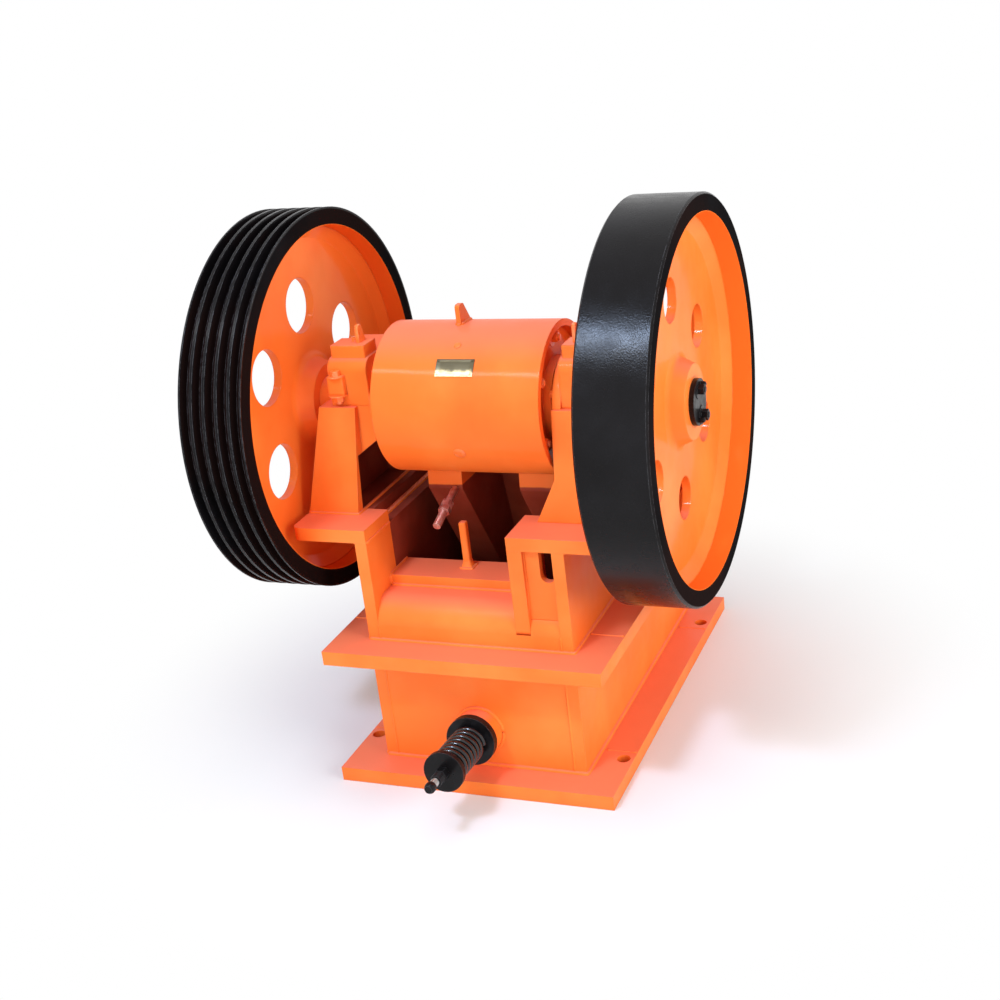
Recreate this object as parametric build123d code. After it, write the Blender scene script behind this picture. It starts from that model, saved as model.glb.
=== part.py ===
from build123d import *
import math
import os

# Small single-toggle jaw crusher, in millimetres.
# X runs along the shaft, +Y towards the feed end, +Z up.
# The origin is the middle of the base plate's underside.

# Box of the frame
body_width = 350.0
body_length = 600.0
wall_thick = 20.0
wall_drop = 3.0
wall_step_run = 22.0
rear_wall_thick = 16.0
rear_bend_radius = 42.0
rear_shoulder_depth = 96.0

# Base plate and the flange belt above it
belt_reach_x = 60.0
belt_reach_y = 55.0
base_thick = 24.0
base_hole_radius = 11.0
base_hole_edge_x = 17.0
base_hole_edge_y = 111.0
belt_thick = 24.0
belt_seam_run = 69.0

# Shaft line
shaft_height = 588.0
shaft_set_back = 173.0
journal_radius = 38.0
eccentric_radius = 46.0
eccentric_set_in = 3.0
throw = 6.0
running_gap = 0.05

# Heights inside the frame, as shares of the bearing seats' height
belt_share = 0.5
shoulder_share = 0.715
toggle_beam_share = 0.28
toggle_rear_share = 0.41
toggle_front_share = 0.308
jaw_foot_share = 0.222
rod_seat_share = 0.209

# Ledge, lug and gusset over the rear wall
ledge_thick = 18.0
ledge_set_back = 64.0
ledge_depth = 68.0
lug_x = -35.0
lug_width = 12.5
lug_height = 79.0
lug_set_back = 46.0
lug_edge_radius = 3.0
gusset_set_in = 92.0
gusset_thick = 24.0
gusset_panel_set_back = 8.0
gusset_panel_thick = 12.0
gusset_slot_width = 24.0
gusset_slot_height = 53.0

# Bearing seat plates
bearing_height = 160.0
seat_thick = 22.0
seat_overhang = 110.0
seat_inner_depth = 89.0
seat_side_gap = 5.0
seat_far_reach = 129.0
seat_corner_radius = 14.0

# Pedestals and bearing caps
foot_set_off = 20.0
foot_width = 89.0
foot_half_depth = 110.0
head_set_off = 9.0
head_width = 64.0
head_half_depth = 88.0
split_rise = 14.0
pocket_wall = 48.0
pocket_face = 18.0
pocket_drop = 66.0
cheek_set_off = 6.0
cheek_rise = 22.0
wing_thick = 12.0
wing_foot_reach = 71.0
wing_head_reach = 38.0
wing_knee_reach = 39.0
wing_knee_height = 67.0
cap_set_in = 15.0
cap_width = 68.0
cap_half_depth = 78.0
cap_height = 76.0
cap_round = 20.0
cap_lid_height = 19.0
cap_lid_inset = 4.5
cap_lid_set_back = 13.0
cap_lid_depth = 42.0
cap_ear_set_in = 2.0
cap_ear_width = 27.5
cap_ear_rise = 20.0
cap_ear_thick = 30.0
cap_ear_reach = 10.0
cover_radius = 84.0
cover_thick = 14.0

# Swing jaw
drum_radius = 121.0
drum_side_gap = 7.0
drum_recess_depth = 14.0
drum_rim = 11.0
drum_boss_radius = 66.0
jaw_side_gap = 8.0
jaw_face_set_off = 135.0
jaw_face_rise = 2.0
jaw_web_thick = 30.0
jaw_rib_set_in = 15.0
jaw_rib_width = 60.0
jaw_rib_back_run = 15.0
jaw_rib_back_rise = 12.0
jaw_rib_foot_depth = 82.0
jaw_rib_foot_rise = 55.0
jaw_seat_relief = 4.0
jaw_seat_height = 62.0
tail_reach = 147.0
tail_gap = 28.0
tail_thick = 14.0
tail_radius = 18.0
tail_pin_radius = 8.0
jaw_plate_thick = 37.0
jaw_plate_overhang = 1.0
tooth_pitch = 36.0
tooth_height = 12.0

# Crushing chamber
discharge_setting = 37.0
feed_wall_thick = 22.0
feed_rib_depth = 38.0
feed_rib_x = 82.0
feed_rib_thick = 18.0
fixed_plate_thick = 40.0
fixed_plate_drop = 10.0
fixed_plate_hang = 25.0
liner_thick = 22.0
liner_set_off = 4.0
liner_drop = 7.0
liner_hang = 5.0
seat_gap = 0.3

# Toggle
toggle_beam_set_back = 110.0
toggle_beam_depth = 56.0
toggle_beam_height = 100.0
toggle_thick = 24.0
toggle_set_in = 20.0
toggle_seat_reach = 30.0
toggle_front_depth = 94.0
toggle_open_gap = 11.0
toggle_seat_relief = 4.0

# Tension rod and spring
rod_radius = 6.0
rod_rise_deg = 4.3
rod_seat_reach = 30.0
rod_tip_length = 43.0
rod_hole_gap = 5.0
boss_radius = 39.0
boss_length = 22.0
seat_disc_radius = 41.0
seat_disc_thick = 13.0
spring_radius = 29.0
spring_wire_radius = 4.4
spring_length = 97.0
spring_turns = 7.0
end_disc_radius = 33.0
end_disc_thick = 9.0
rod_nut_radius = 11.0
rod_nut_length = 14.0
rod_eye_radius = 32.0
rod_eye_hole_radius = 19.5
rod_eye_thick = 16.0

# Wheels
wheel_radius = 310.0
wheel_set_off = 81.5
wheel_clearance = 8.0
rim_width = 108.0
rim_thick = 28.5
web_thick = 14.0
sheave_hole_radius = 45.0
flywheel_hole_radius = 34.0
web_hole_circle_share = 0.558
web_hole_count = 6
web_hole_phase_deg = 30.0
web_flare_depth = 20.0
web_flare_width = 15.0
hub_radius = 58.0
hub_root_radius = 70.0
hub_fillet = 14.0
hub_inner_reach = 29.5
hub_outer_reach = 26.5
groove_count = 5
groove_depth = 15.0
groove_mouth = 17.0
groove_floor = 9.0
rim_bevel = 3.0
lock_plate_radius = 36.0
lock_plate_thick = 8.0

# Drum lifting eye and jaw bolt
eye_x = -20.0
eye_thick = 8.0
eye_height = 31.0
eye_set_back = 14.0
eye_top_depth = 16.0
eye_foot_depth = 42.0
eye_corner_radius = 5.0
jaw_bolt_set_off = 17.0
jaw_bolt_dip_deg = 19.0
jaw_bolt_radius = 6.0
jaw_bolt_length = 92.0
jaw_bolt_nut_radius = 10.5
jaw_bolt_nut_thick = 12.0
jaw_bolt_nut_place = 36.0

# One overrun serves all cuts
overrun = 5.0

# Frame, worked out
half_body = body_width / 2
inner_x = half_body - wall_thick
rear_y = -body_length / 2
feed_end_y = body_length / 2
half_base = half_body + belt_reach_x
base_near_y = rear_y - belt_reach_y
base_far_y = feed_end_y + belt_reach_y
seat_top = shaft_height - bearing_height
seat_underside = seat_top - seat_thick
wall_top = shaft_height - wall_drop
belt_underside = seat_top * belt_share
belt_top = belt_underside + belt_thick
belt_seam_y = rear_y + belt_seam_run
rear_shoulder_height = seat_top * shoulder_share
ledge_front_y = rear_y + ledge_set_back
gusset_x = half_body - gusset_set_in

# Bearings and wheels, worked out
shaft_y = rear_y + shaft_set_back
drum_height = shaft_height + throw
split_height = shaft_height + split_rise
pocket_top = shaft_height - pocket_drop
foot_inner = half_body + foot_set_off
foot_outer = foot_inner + foot_width
head_inner = half_body + head_set_off
head_outer = head_inner + head_width
cap_inner = half_body - cap_set_in
cap_outer = cap_inner + cap_width
drum_length = (cap_inner - cover_thick - drum_side_gap) * 2
eccentric_length = drum_length - eccentric_set_in * 2
wheel_inner_x = half_body + wheel_set_off
wheel_middle_x = wheel_inner_x + rim_width / 2
rim_inner_radius = wheel_radius - rim_thick
web_hole_circle = rim_inner_radius * web_hole_circle_share
shaft_end_x = wheel_middle_x + web_thick / 2 + hub_outer_reach

# Jaws and chamber, worked out
feed_wall_y = feed_end_y - feed_rib_depth - feed_wall_thick
jaw_width = (inner_x - liner_thick - jaw_side_gap) * 2
jaw_plate_width = jaw_width + jaw_plate_overhang * 2
jaw_face_top_y = shaft_y + jaw_face_set_off
jaw_face_top_z = shaft_height + jaw_face_rise
jaw_face_foot_y = feed_wall_y - fixed_plate_thick - discharge_setting - jaw_plate_thick
jaw_face_foot_z = seat_top * jaw_foot_share
jaw_lean = math.atan2(jaw_face_foot_y - jaw_face_top_y, jaw_face_top_z - jaw_face_foot_z)
jaw_rib_x = jaw_width / 2 - jaw_rib_set_in - jaw_rib_width / 2
jaw_rib_back_y = shaft_y - jaw_rib_back_run
jaw_rib_back_z = seat_top + jaw_rib_back_rise
jaw_bolt_x = jaw_bolt_set_off - jaw_rib_x
fixed_plate_top = wall_top - fixed_plate_drop
fixed_plate_foot = jaw_face_foot_z - fixed_plate_hang
liner_top = wall_top - liner_drop
liner_foot = jaw_face_foot_z - liner_hang

# Toggle and rod, worked out
toggle_beam_y = rear_y + toggle_beam_set_back
toggle_beam_foot = seat_top * toggle_beam_share
toggle_width = jaw_width - toggle_set_in * 2
toggle_rear_y = toggle_beam_y + toggle_beam_depth / 2 + toggle_seat_reach
toggle_rear_z = seat_top * toggle_rear_share
toggle_front_y = jaw_face_foot_y - toggle_front_depth
toggle_front_z = seat_top * toggle_front_share
rod_rise = math.radians(rod_rise_deg)
rod_seat_y = rear_y - rod_seat_reach
rod_seat_z = seat_top * rod_seat_share
rod_inner_reach = (jaw_face_foot_y - tail_reach - rod_seat_y) / math.cos(rod_rise)
rod_nut_place = seat_disc_thick + spring_length + end_disc_thick
rod_outer_reach = rod_nut_place + rod_nut_length + rod_tip_length
X_AXIS = (1, 0, 0)


def block(x0, x1, y0, y1, z0, z1):
    """Box between two corners."""
    middle = ((x0 + x1) / 2, (y0 + y1) / 2, (z0 + z1) / 2)
    return Pos(*middle) * Box(abs(x1 - x0), abs(y1 - y0), abs(z1 - z0))


def side_profile(points, x0, x1):
    """Outline in the YZ plane, pushed along X."""
    outline = Polyline([(x0, y, z) for y, z in points], close=True)
    return extrude(make_face(outline), amount=x1 - x0, dir=X_AXIS)


def rod_along_x(radius, x0, x1, y, z):
    """Round bar along X."""
    turned = Cylinder(radius, abs(x1 - x0), rotation=(0, 90, 0))
    return Pos((x0 + x1) / 2, y, z) * turned


def mirrored(shape):
    """Copy on the other side of the middle plane."""
    return mirror(shape, about=Plane.YZ)


def rod_plane(distance):
    """Plane square to the tension rod, at a distance outwards from the spring seat."""
    run = distance * math.cos(rod_rise)
    rise = distance * math.sin(rod_rise)
    centre = (0, rod_seat_y - run, rod_seat_z + rise)
    return Plane(centre, x_dir=X_AXIS, z_dir=(0, -math.cos(rod_rise), math.sin(rod_rise)))


def disc_on_rod(distance, length, radius):
    """Round disc on the rod's axis, from a distance outwards."""
    return extrude(rod_plane(distance) * Circle(radius), amount=length)


def ring_on_rod(distance, length, outer, inner):
    """Washer on the rod's axis."""
    bore = disc_on_rod(distance - overrun, length + overrun * 2, inner)
    return disc_on_rod(distance, length, outer) - bore


# Frame

def make_base_plate():
    plate = block(-half_base, half_base, base_near_y, base_far_y, 0, base_thick)
    opening_back = feed_wall_y
    opening_front = rear_y + rear_wall_thick
    plate -= block(-inner_x, inner_x, opening_front, opening_back, -overrun, base_thick + overrun)
    drill = Cylinder(base_hole_radius, base_thick + overrun * 2)
    spacing_x = (half_base - base_hole_edge_x) * 2
    spacing_y = base_far_y - base_near_y - base_hole_edge_y * 2
    for spot in GridLocations(spacing_x, spacing_y, 2, 2):
        plate -= Pos(0, 0, base_thick / 2) * spot * drill
    return plate


def make_side_wall():
    """Left wall: low under the bearing seat, high beside the crushing chamber."""
    points = [
        (rear_y, base_thick),
        (feed_end_y, base_thick),
        (feed_end_y, wall_top),
        (jaw_face_top_y + wall_step_run, wall_top),
        (jaw_face_top_y, seat_underside),
        (rear_y, seat_underside),
    ]
    return side_profile(points, -half_body, -inner_x)


def rear_wall_section(inset, foot, back_y):
    """Solid under the rear wall's line, which is moved inwards by inset."""
    radius = rear_bend_radius - inset
    bend_y = rear_y + rear_bend_radius
    bend_z = rear_shoulder_height - rear_bend_radius
    side = -inner_x
    start = (side, bend_y - radius, foot)
    spring = (side, bend_y - radius, bend_z)
    crown = (side, bend_y, bend_z + radius)
    middle = (side, bend_y - radius * math.sqrt(0.5), bend_z + radius * math.sqrt(0.5))
    end = (side, back_y, bend_z + radius)
    corner = (side, back_y, foot)
    line = Line(start, spring) + ThreePointArc(spring, middle, crown) + Line(crown, end)
    line += Polyline(end, corner, start)
    return extrude(make_face(line), amount=inner_x * 2, dir=X_AXIS)


def make_rear_wall():
    """Bent plate: upright behind the spring, rounded over at the shoulder."""
    back_y = rear_y + rear_shoulder_depth
    wall = rear_wall_section(0, base_thick, back_y)
    wall -= rear_wall_section(rear_wall_thick, base_thick - overrun, back_y + overrun)
    rod_length = rod_inner_reach + rod_outer_reach
    return wall - disc_on_rod(-rod_inner_reach, rod_length, rod_radius + rod_hole_gap)


def make_ledge_plate():
    top = rear_shoulder_height + ledge_thick
    back_y = ledge_front_y + ledge_depth
    return block(-inner_x, gusset_x, ledge_front_y, back_y, rear_shoulder_height, top)


def make_frame_lifting_lug():
    """Upright square bar on the ledge, with rounded edges."""
    foot = rear_shoulder_height + ledge_thick
    half = lug_width / 2
    middle_y = ledge_front_y + lug_set_back
    bar = block(lug_x - half, lug_x + half, middle_y - half, middle_y + half, foot, foot + lug_height)
    levels = bar.edges().group_by(Axis.Z)
    return fillet(levels[1] + levels[2], lug_edge_radius)


def make_inner_gusset():
    """Upright plate under the right seat plate's inner end, and the slotted panel beside it."""
    back = rear_y + seat_inner_depth
    low = rear_shoulder_height - rear_bend_radius
    far_x = gusset_x + gusset_thick
    plate = block(gusset_x, far_x, rear_y, back, low, seat_underside)
    panel_near = rear_y + gusset_panel_set_back
    panel_far = panel_near + gusset_panel_thick
    plate += block(far_x, inner_x, panel_near, panel_far, low, seat_underside)
    slot_x = inner_x - gusset_slot_width
    slot_middle_x = inner_x - gusset_slot_width / 2
    slot_foot = seat_underside - gusset_slot_height + gusset_slot_width / 2
    plate -= block(slot_x, inner_x, panel_near, panel_far, slot_foot, seat_underside)
    bottom = Cylinder(gusset_slot_width / 2, gusset_panel_thick, rotation=(90, 0, 0))
    plate -= Pos(slot_middle_x, (panel_near + panel_far) / 2, slot_foot) * bottom
    return plate - rear_wall_section(0, base_thick, rear_y + rear_shoulder_depth)


def make_seat_plate(inner_end):
    """Left seat plate: its rear part runs further in than the part beside the jaw."""
    outer_x = -half_body - seat_overhang
    clear_x = wheel_clearance - wheel_inner_x
    side_x = -half_body - seat_side_gap
    step_y = rear_y + seat_inner_depth
    back_y = shaft_y + seat_far_reach
    tip = block(outer_x, clear_x, rear_y, back_y, seat_underside, seat_top)
    corners = tip.edges().filter_by(Axis.Z).group_by(Axis.X)[0]
    tip = fillet(corners, seat_corner_radius)
    tip &= rod_along_x(rim_inner_radius - wheel_clearance, outer_x, clear_x, shaft_y, shaft_height)
    plate = block(clear_x, -inner_end, rear_y, step_y, seat_underside, seat_top)
    plate += block(clear_x, side_x, step_y, back_y, seat_underside, seat_top)
    return plate + tip


def flange_strip(x0, x1, y0, y1):
    return block(x0, x1, y0, y1, belt_underside, belt_top)


def make_rear_flange():
    """U of plate round the frame's rear corners."""
    strip = flange_strip(-half_base, half_base, base_near_y, belt_seam_y)
    low = belt_underside - overrun
    high = belt_top + overrun
    return strip - block(-half_body, half_body, rear_y, feed_end_y, low, high)


def make_side_flange():
    return flange_strip(-half_base, -half_body, belt_seam_y, feed_end_y)


def make_feed_flange():
    return flange_strip(-half_base, half_base, feed_end_y, base_far_y)


def make_pedestal_cheek():
    """Head of the pedestal, widened inwards under the bearing."""
    near = shaft_y - cap_half_depth
    cheek_inner = head_inner + cheek_set_off
    points = [
        (-cap_outer, pocket_top),
        (-cheek_inner, pocket_top),
        (-cap_inner, pocket_top + cheek_rise),
        (-cap_inner, split_height),
        (-cap_outer, split_height),
    ]
    outline = Polyline([(x, near, z) for x, z in points], close=True)
    return extrude(make_face(outline), amount=cap_half_depth * 2, dir=(0, 1, 0))


def make_pedestal():
    """Left pedestal: tapered casting with an open pocket towards the jaw."""
    foot = Pos((-foot_inner - foot_outer) / 2, shaft_y, seat_top)
    foot *= Rectangle(foot_outer - foot_inner, foot_half_depth * 2)
    head = Pos((-head_inner - head_outer) / 2, shaft_y, split_height)
    head *= Rectangle(head_outer - head_inner, head_half_depth * 2)
    body = loft([foot, head])
    pocket_x = -foot_outer + pocket_wall
    near = shaft_y - foot_half_depth + pocket_face
    far = shaft_y + foot_half_depth - pocket_face
    body -= block(pocket_x, overrun, near, far, seat_top - overrun, pocket_top)
    body += make_pedestal_cheek()
    bore = rod_along_x(journal_radius + running_gap, -foot_outer, 0, shaft_y, shaft_height)
    return body - bore


def wing_section(reach, half_depth, height):
    """Rectangle across the rear wing, at one height."""
    width = head_outer - head_inner + reach
    near = shaft_y - half_depth
    middle = Pos(head_inner - reach + width / 2, near + wing_thick / 2, height)
    return middle * Rectangle(width, wing_thick)


def make_right_pedestal():
    """Right pedestal: its rear face is widened towards the jaw by a wing."""
    knee_rise_share = wing_knee_height / (split_height - seat_top)
    knee_half_depth = foot_half_depth + (head_half_depth - foot_half_depth) * knee_rise_share
    sections = [
        wing_section(wing_foot_reach, foot_half_depth, seat_top),
        wing_section(wing_knee_reach, knee_half_depth, seat_top + wing_knee_height),
        wing_section(wing_head_reach, head_half_depth, split_height),
    ]
    wing = loft(sections, ruled=True)
    wing -= rod_along_x(cover_radius + seat_gap, 0, cap_inner, shaft_y, shaft_height)
    wing -= rod_along_x(journal_radius + running_gap, 0, foot_outer, shaft_y, shaft_height)
    return mirrored(make_pedestal()) + wing


def make_bearing_cap():
    """Left cap: rounded block over the bearing, with a raised pad and two bolting ears."""
    near = shaft_y - cap_half_depth
    far = shaft_y + cap_half_depth
    top = split_height + cap_height
    body = block(-cap_outer, -cap_inner, near, far, split_height, top)
    crown = body.edges().filter_by(Axis.X).group_by(Axis.Z)[-1]
    body = fillet(crown, cap_round)
    lid_near = near + cap_lid_set_back
    lid_far = lid_near + cap_lid_depth
    lid_outer = -cap_outer + cap_lid_inset
    lid_inner = -cap_inner - cap_lid_inset
    body += block(lid_outer, lid_inner, lid_near, lid_far, top - cap_round, top + cap_lid_height)
    ear_outer = -cap_outer + cap_ear_set_in
    ear_inner = ear_outer + cap_ear_width
    ear_foot = split_height + cap_ear_rise
    ear_near = near - cap_ear_reach
    ear_far = far + cap_ear_reach
    body += block(ear_outer, ear_inner, ear_near, ear_far, ear_foot, ear_foot + cap_ear_thick)
    bore = rod_along_x(journal_radius + running_gap, -foot_outer, 0, shaft_y, shaft_height)
    return body - bore


def make_end_cover():
    """Left cover: disc on the housing's inner face."""
    cover = rod_along_x(cover_radius, -cap_inner, -cap_inner + cover_thick, shaft_y, shaft_height)
    return cover - rod_along_x(journal_radius + running_gap, -foot_outer, 0, shaft_y, shaft_height)


def make_feed_wall():
    """Wall behind the fixed jaw, with its upright ribs."""
    wall_back = feed_wall_y + feed_wall_thick
    wall = block(-inner_x, inner_x, feed_wall_y, wall_back, base_thick, wall_top)
    for side in (-1, 1):
        x0 = side * feed_rib_x - feed_rib_thick / 2
        wall += block(x0, x0 + feed_rib_thick, wall_back, feed_end_y, base_thick, wall_top)
    return wall


def tooth_row(width, base_line):
    """Zigzag across the width, from one edge to the other, over a straight back."""
    count = max(int(width // tooth_pitch), 1)
    pitch = width / count
    points = [(-width / 2, 0), (-width / 2, base_line)]
    for index in range(count):
        left = -width / 2 + pitch * index
        points.append((left + pitch / 4, base_line + tooth_height))
        points.append((left + pitch / 2, base_line + tooth_height))
        points.append((left + pitch * 3 / 4, base_line))
        points.append((left + pitch, base_line))
    points.append((width / 2, 0))
    return points


def make_fixed_jaw_plate():
    """Toothed plate against the feed wall."""
    width = (inner_x - liner_thick - seat_gap) * 2
    flat = fixed_plate_thick - tooth_height
    points = [(x, feed_wall_y - depth) for x, depth in tooth_row(width, flat)]
    outline = Polyline([(x, y, fixed_plate_foot) for x, y in points], close=True)
    return extrude(make_face(outline), amount=fixed_plate_top - fixed_plate_foot, dir=(0, 0, 1))


def make_side_liner():
    """Left cheek liner, cut to the leaning jaw."""
    points = [
        (jaw_face_top_y + liner_set_off, liner_top),
        (feed_wall_y, liner_top),
        (feed_wall_y, liner_foot),
        (jaw_face_foot_y - jaw_plate_thick, liner_foot),
    ]
    return side_profile(points, -inner_x, -inner_x + liner_thick)


# Swing jaw

def jaw_plane():
    """Plane of the jaw's face: x along the shaft, y up the face, z towards the feed end."""
    centre = (0, jaw_face_foot_y, jaw_face_foot_z)
    return Plane(centre, x_dir=(-1, 0, 0), z_dir=(0, math.cos(jaw_lean), math.sin(jaw_lean)))


def make_jaw_drum():
    """Head of the swing jaw: a thick tube with recessed ends."""
    half = drum_length / 2
    drum = rod_along_x(drum_radius, -half, half, shaft_y, drum_height)
    for side in (-1, 1):
        floor = side * (half - drum_recess_depth)
        recess = rod_along_x(drum_radius - drum_rim, side * half, floor, shaft_y, drum_height)
        recess -= rod_along_x(drum_boss_radius, side * half, floor, shaft_y, drum_height)
        drum -= recess
    return drum - rod_along_x(eccentric_radius + running_gap, -half, half, shaft_y, drum_height)


def make_jaw_body():
    """Leaning web with two broad ribs, under the drum."""
    half = jaw_width / 2
    back = jaw_web_thick / math.cos(jaw_lean)
    web = [
        (jaw_face_top_y, jaw_face_top_z),
        (jaw_face_foot_y, jaw_face_foot_z),
        (jaw_face_foot_y - back, jaw_face_foot_z),
        (jaw_face_top_y - back, jaw_face_top_z),
    ]
    body = side_profile(web, -half, half)
    rib = [
        (shaft_y, drum_height),
        (jaw_face_top_y - back / 2, jaw_face_top_z),
        (jaw_face_foot_y - back / 2, jaw_face_foot_z),
        (jaw_face_foot_y - jaw_rib_foot_depth, jaw_face_foot_z + jaw_rib_foot_rise),
        (jaw_rib_back_y, jaw_rib_back_z),
    ]
    for side in (-1, 1):
        x0 = side * jaw_rib_x - jaw_rib_width / 2
        body += side_profile(rib, x0, x0 + jaw_rib_width)
    seat_y = toggle_front_y + jaw_seat_relief
    seat_z = jaw_face_foot_z + jaw_seat_height
    body += block(-half, half, seat_y, jaw_face_foot_y - back / 2, jaw_face_foot_z, seat_z)
    groove = toggle_thick / 2 + toggle_open_gap
    body -= rod_along_x(groove, -half - overrun, half + overrun, toggle_front_y, toggle_front_z + throw)
    body += make_jaw_tail()
    length = drum_length / 2 + overrun
    return body - rod_along_x(drum_radius, -length, length, shaft_y, drum_height)


def make_jaw_tail():
    """Two ears and a pin that stand in the rod's eye."""
    eye = rod_plane(-rod_inner_reach).origin
    pin_z = eye.Z + throw
    far = jaw_face_foot_y - jaw_web_thick
    tail = rod_along_x(tail_pin_radius, -tail_gap / 2, tail_gap / 2, eye.Y, pin_z)
    ear = [
        (eye.Y, pin_z - tail_radius),
        (far, jaw_face_foot_z),
        (far, jaw_face_foot_z + tail_radius),
        (toggle_front_y + jaw_seat_relief, jaw_face_foot_z + tail_radius / 2),
        (eye.Y, pin_z + tail_radius),
    ]
    for side in (-1, 1):
        near = side * tail_gap / 2
        x0 = min(near, near + side * tail_thick)
        tail += side_profile(ear, x0, x0 + tail_thick)
        tail += rod_along_x(tail_radius, x0, x0 + tail_thick, eye.Y, pin_z)
    return tail


def make_movable_jaw_plate():
    """Toothed plate on the leaning face."""
    flat = jaw_plate_thick - tooth_height
    plane = jaw_plane()
    height = (jaw_face_top_z - jaw_face_foot_z) / math.cos(jaw_lean)
    outline = Polyline(tooth_row(jaw_plate_width, flat), close=True)
    section = Plane(plane.origin, x_dir=X_AXIS, z_dir=plane.y_dir)
    return extrude(section * make_face(outline), amount=height, dir=plane.y_dir)


def make_drum_lifting_eye():
    """Flat plate on the crown of the drum, sloping at its far side."""
    x0 = eye_x - eye_thick / 2
    x1 = eye_x + eye_thick / 2
    near = shaft_y - eye_set_back
    crown = drum_height + drum_radius
    points = [
        (near, crown - eye_height),
        (near + eye_foot_depth, crown - eye_height),
        (near + eye_foot_depth, crown - eye_corner_radius),
        (near + eye_top_depth, crown + eye_height),
        (near, crown + eye_height),
    ]
    plate = side_profile(points, x0, x1)
    top_edges = plate.edges().filter_by(Axis.X).group_by(Axis.Z)[-1]
    plate = fillet(top_edges, eye_corner_radius)
    return plate - rod_along_x(drum_radius, x0 - overrun, x1 + overrun, shaft_y, drum_height)


def make_jaw_bolt():
    """Clamp bolt of the movable jaw plate, with its nut."""
    dip = math.radians(jaw_bolt_dip_deg)
    direction = (0, -math.cos(dip), -math.sin(dip))
    start = Plane((jaw_bolt_x, jaw_rib_back_y, jaw_rib_back_z), x_dir=X_AXIS, z_dir=direction)
    bolt = extrude(start * Circle(jaw_bolt_radius), amount=jaw_bolt_length)
    nut_plane = start.offset(jaw_bolt_nut_place)
    bolt += extrude(nut_plane * RegularPolygon(jaw_bolt_nut_radius, 6), amount=jaw_bolt_nut_thick)
    return bolt


# Toggle, rod and spring

def make_toggle_beam():
    """Cross beam that takes the toggle plate's thrust."""
    near = toggle_beam_y - toggle_beam_depth / 2
    far = toggle_beam_y + toggle_beam_depth / 2
    top = toggle_beam_foot + toggle_beam_height
    beam = block(-inner_x, inner_x, near, far, toggle_beam_foot, top)
    lip = toggle_rear_y - toggle_seat_relief
    low = toggle_rear_z - toggle_thick
    seat = block(-toggle_width / 2, toggle_width / 2, far, lip, low, low + toggle_thick * 2)
    beam += seat
    return beam - rod_along_x(toggle_thick / 2 + seat_gap, -inner_x, inner_x, toggle_rear_y, toggle_rear_z)


def make_toggle_plate():
    """Flat link with rounded ends."""
    half = toggle_width / 2
    lean = math.atan2(toggle_front_z - toggle_rear_z, toggle_front_y - toggle_rear_y)
    rise = math.cos(lean) * toggle_thick / 2
    run = math.sin(lean) * toggle_thick / 2
    points = [
        (toggle_rear_y - run, toggle_rear_z + rise),
        (toggle_front_y - run, toggle_front_z + rise),
        (toggle_front_y + run, toggle_front_z - rise),
        (toggle_rear_y + run, toggle_rear_z - rise),
    ]
    plate = side_profile(points, -half, half)
    for y, z in ((toggle_rear_y, toggle_rear_z), (toggle_front_y, toggle_front_z)):
        plate += rod_along_x(toggle_thick / 2, -half, half, y, z)
    return plate


def make_rod_boss():
    """Turned boss on the rear wall, square to the rod."""
    length = boss_length + overrun
    boss = ring_on_rod(-length, length, boss_radius, rod_radius + rod_hole_gap)
    return boss - block(-boss_radius, boss_radius, rear_y, feed_end_y, 0, belt_underside)


def make_spring_seat():
    return ring_on_rod(0, seat_disc_thick, seat_disc_radius, rod_radius + running_gap)


def make_tension_spring():
    start = rod_plane(seat_disc_thick + spring_wire_radius)
    travel = spring_length - spring_wire_radius * 2
    middle = spring_radius - spring_wire_radius
    path = Helix(travel / spring_turns, travel, middle)
    wire = sweep(Plane(path @ 0, z_dir=path % 0) * Circle(spring_wire_radius), path=path)
    return start.location * wire


def make_spring_end_disc():
    distance = seat_disc_thick + spring_length
    return ring_on_rod(distance, end_disc_thick, end_disc_radius, rod_radius + running_gap)


def make_tension_rod():
    """Rod from the jaw's foot to the outer nut."""
    rod = disc_on_rod(-rod_inner_reach, rod_inner_reach + rod_outer_reach, rod_radius)
    centre = rod_plane(-rod_inner_reach).origin
    eye = rod_along_x(rod_eye_radius, -rod_eye_thick / 2, rod_eye_thick / 2, centre.Y, centre.Z)
    rod += eye
    return rod - rod_along_x(rod_eye_hole_radius, -rod_eye_thick, rod_eye_thick, centre.Y, centre.Z)


def make_rod_nut():
    nut = extrude(rod_plane(rod_nut_place) * RegularPolygon(rod_nut_radius, 6), amount=rod_nut_length)
    bore = disc_on_rod(rod_nut_place - overrun, rod_nut_length + overrun * 2, rod_radius + running_gap)
    return nut - bore


# Rotor

def make_eccentric_shaft():
    shaft = rod_along_x(journal_radius, -shaft_end_x, shaft_end_x, shaft_y, shaft_height)
    half = eccentric_length / 2
    return shaft + rod_along_x(eccentric_radius, -half, half, shaft_y, drum_height)


def wheel_turned(points):
    """Section given as (x, radius), turned about the shaft's line."""
    outline = Polyline([(x, shaft_y, shaft_height + radius) for x, radius in points], close=True)
    return revolve(make_face(outline), Axis((0, shaft_y, shaft_height), X_AXIS), 360)


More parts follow.
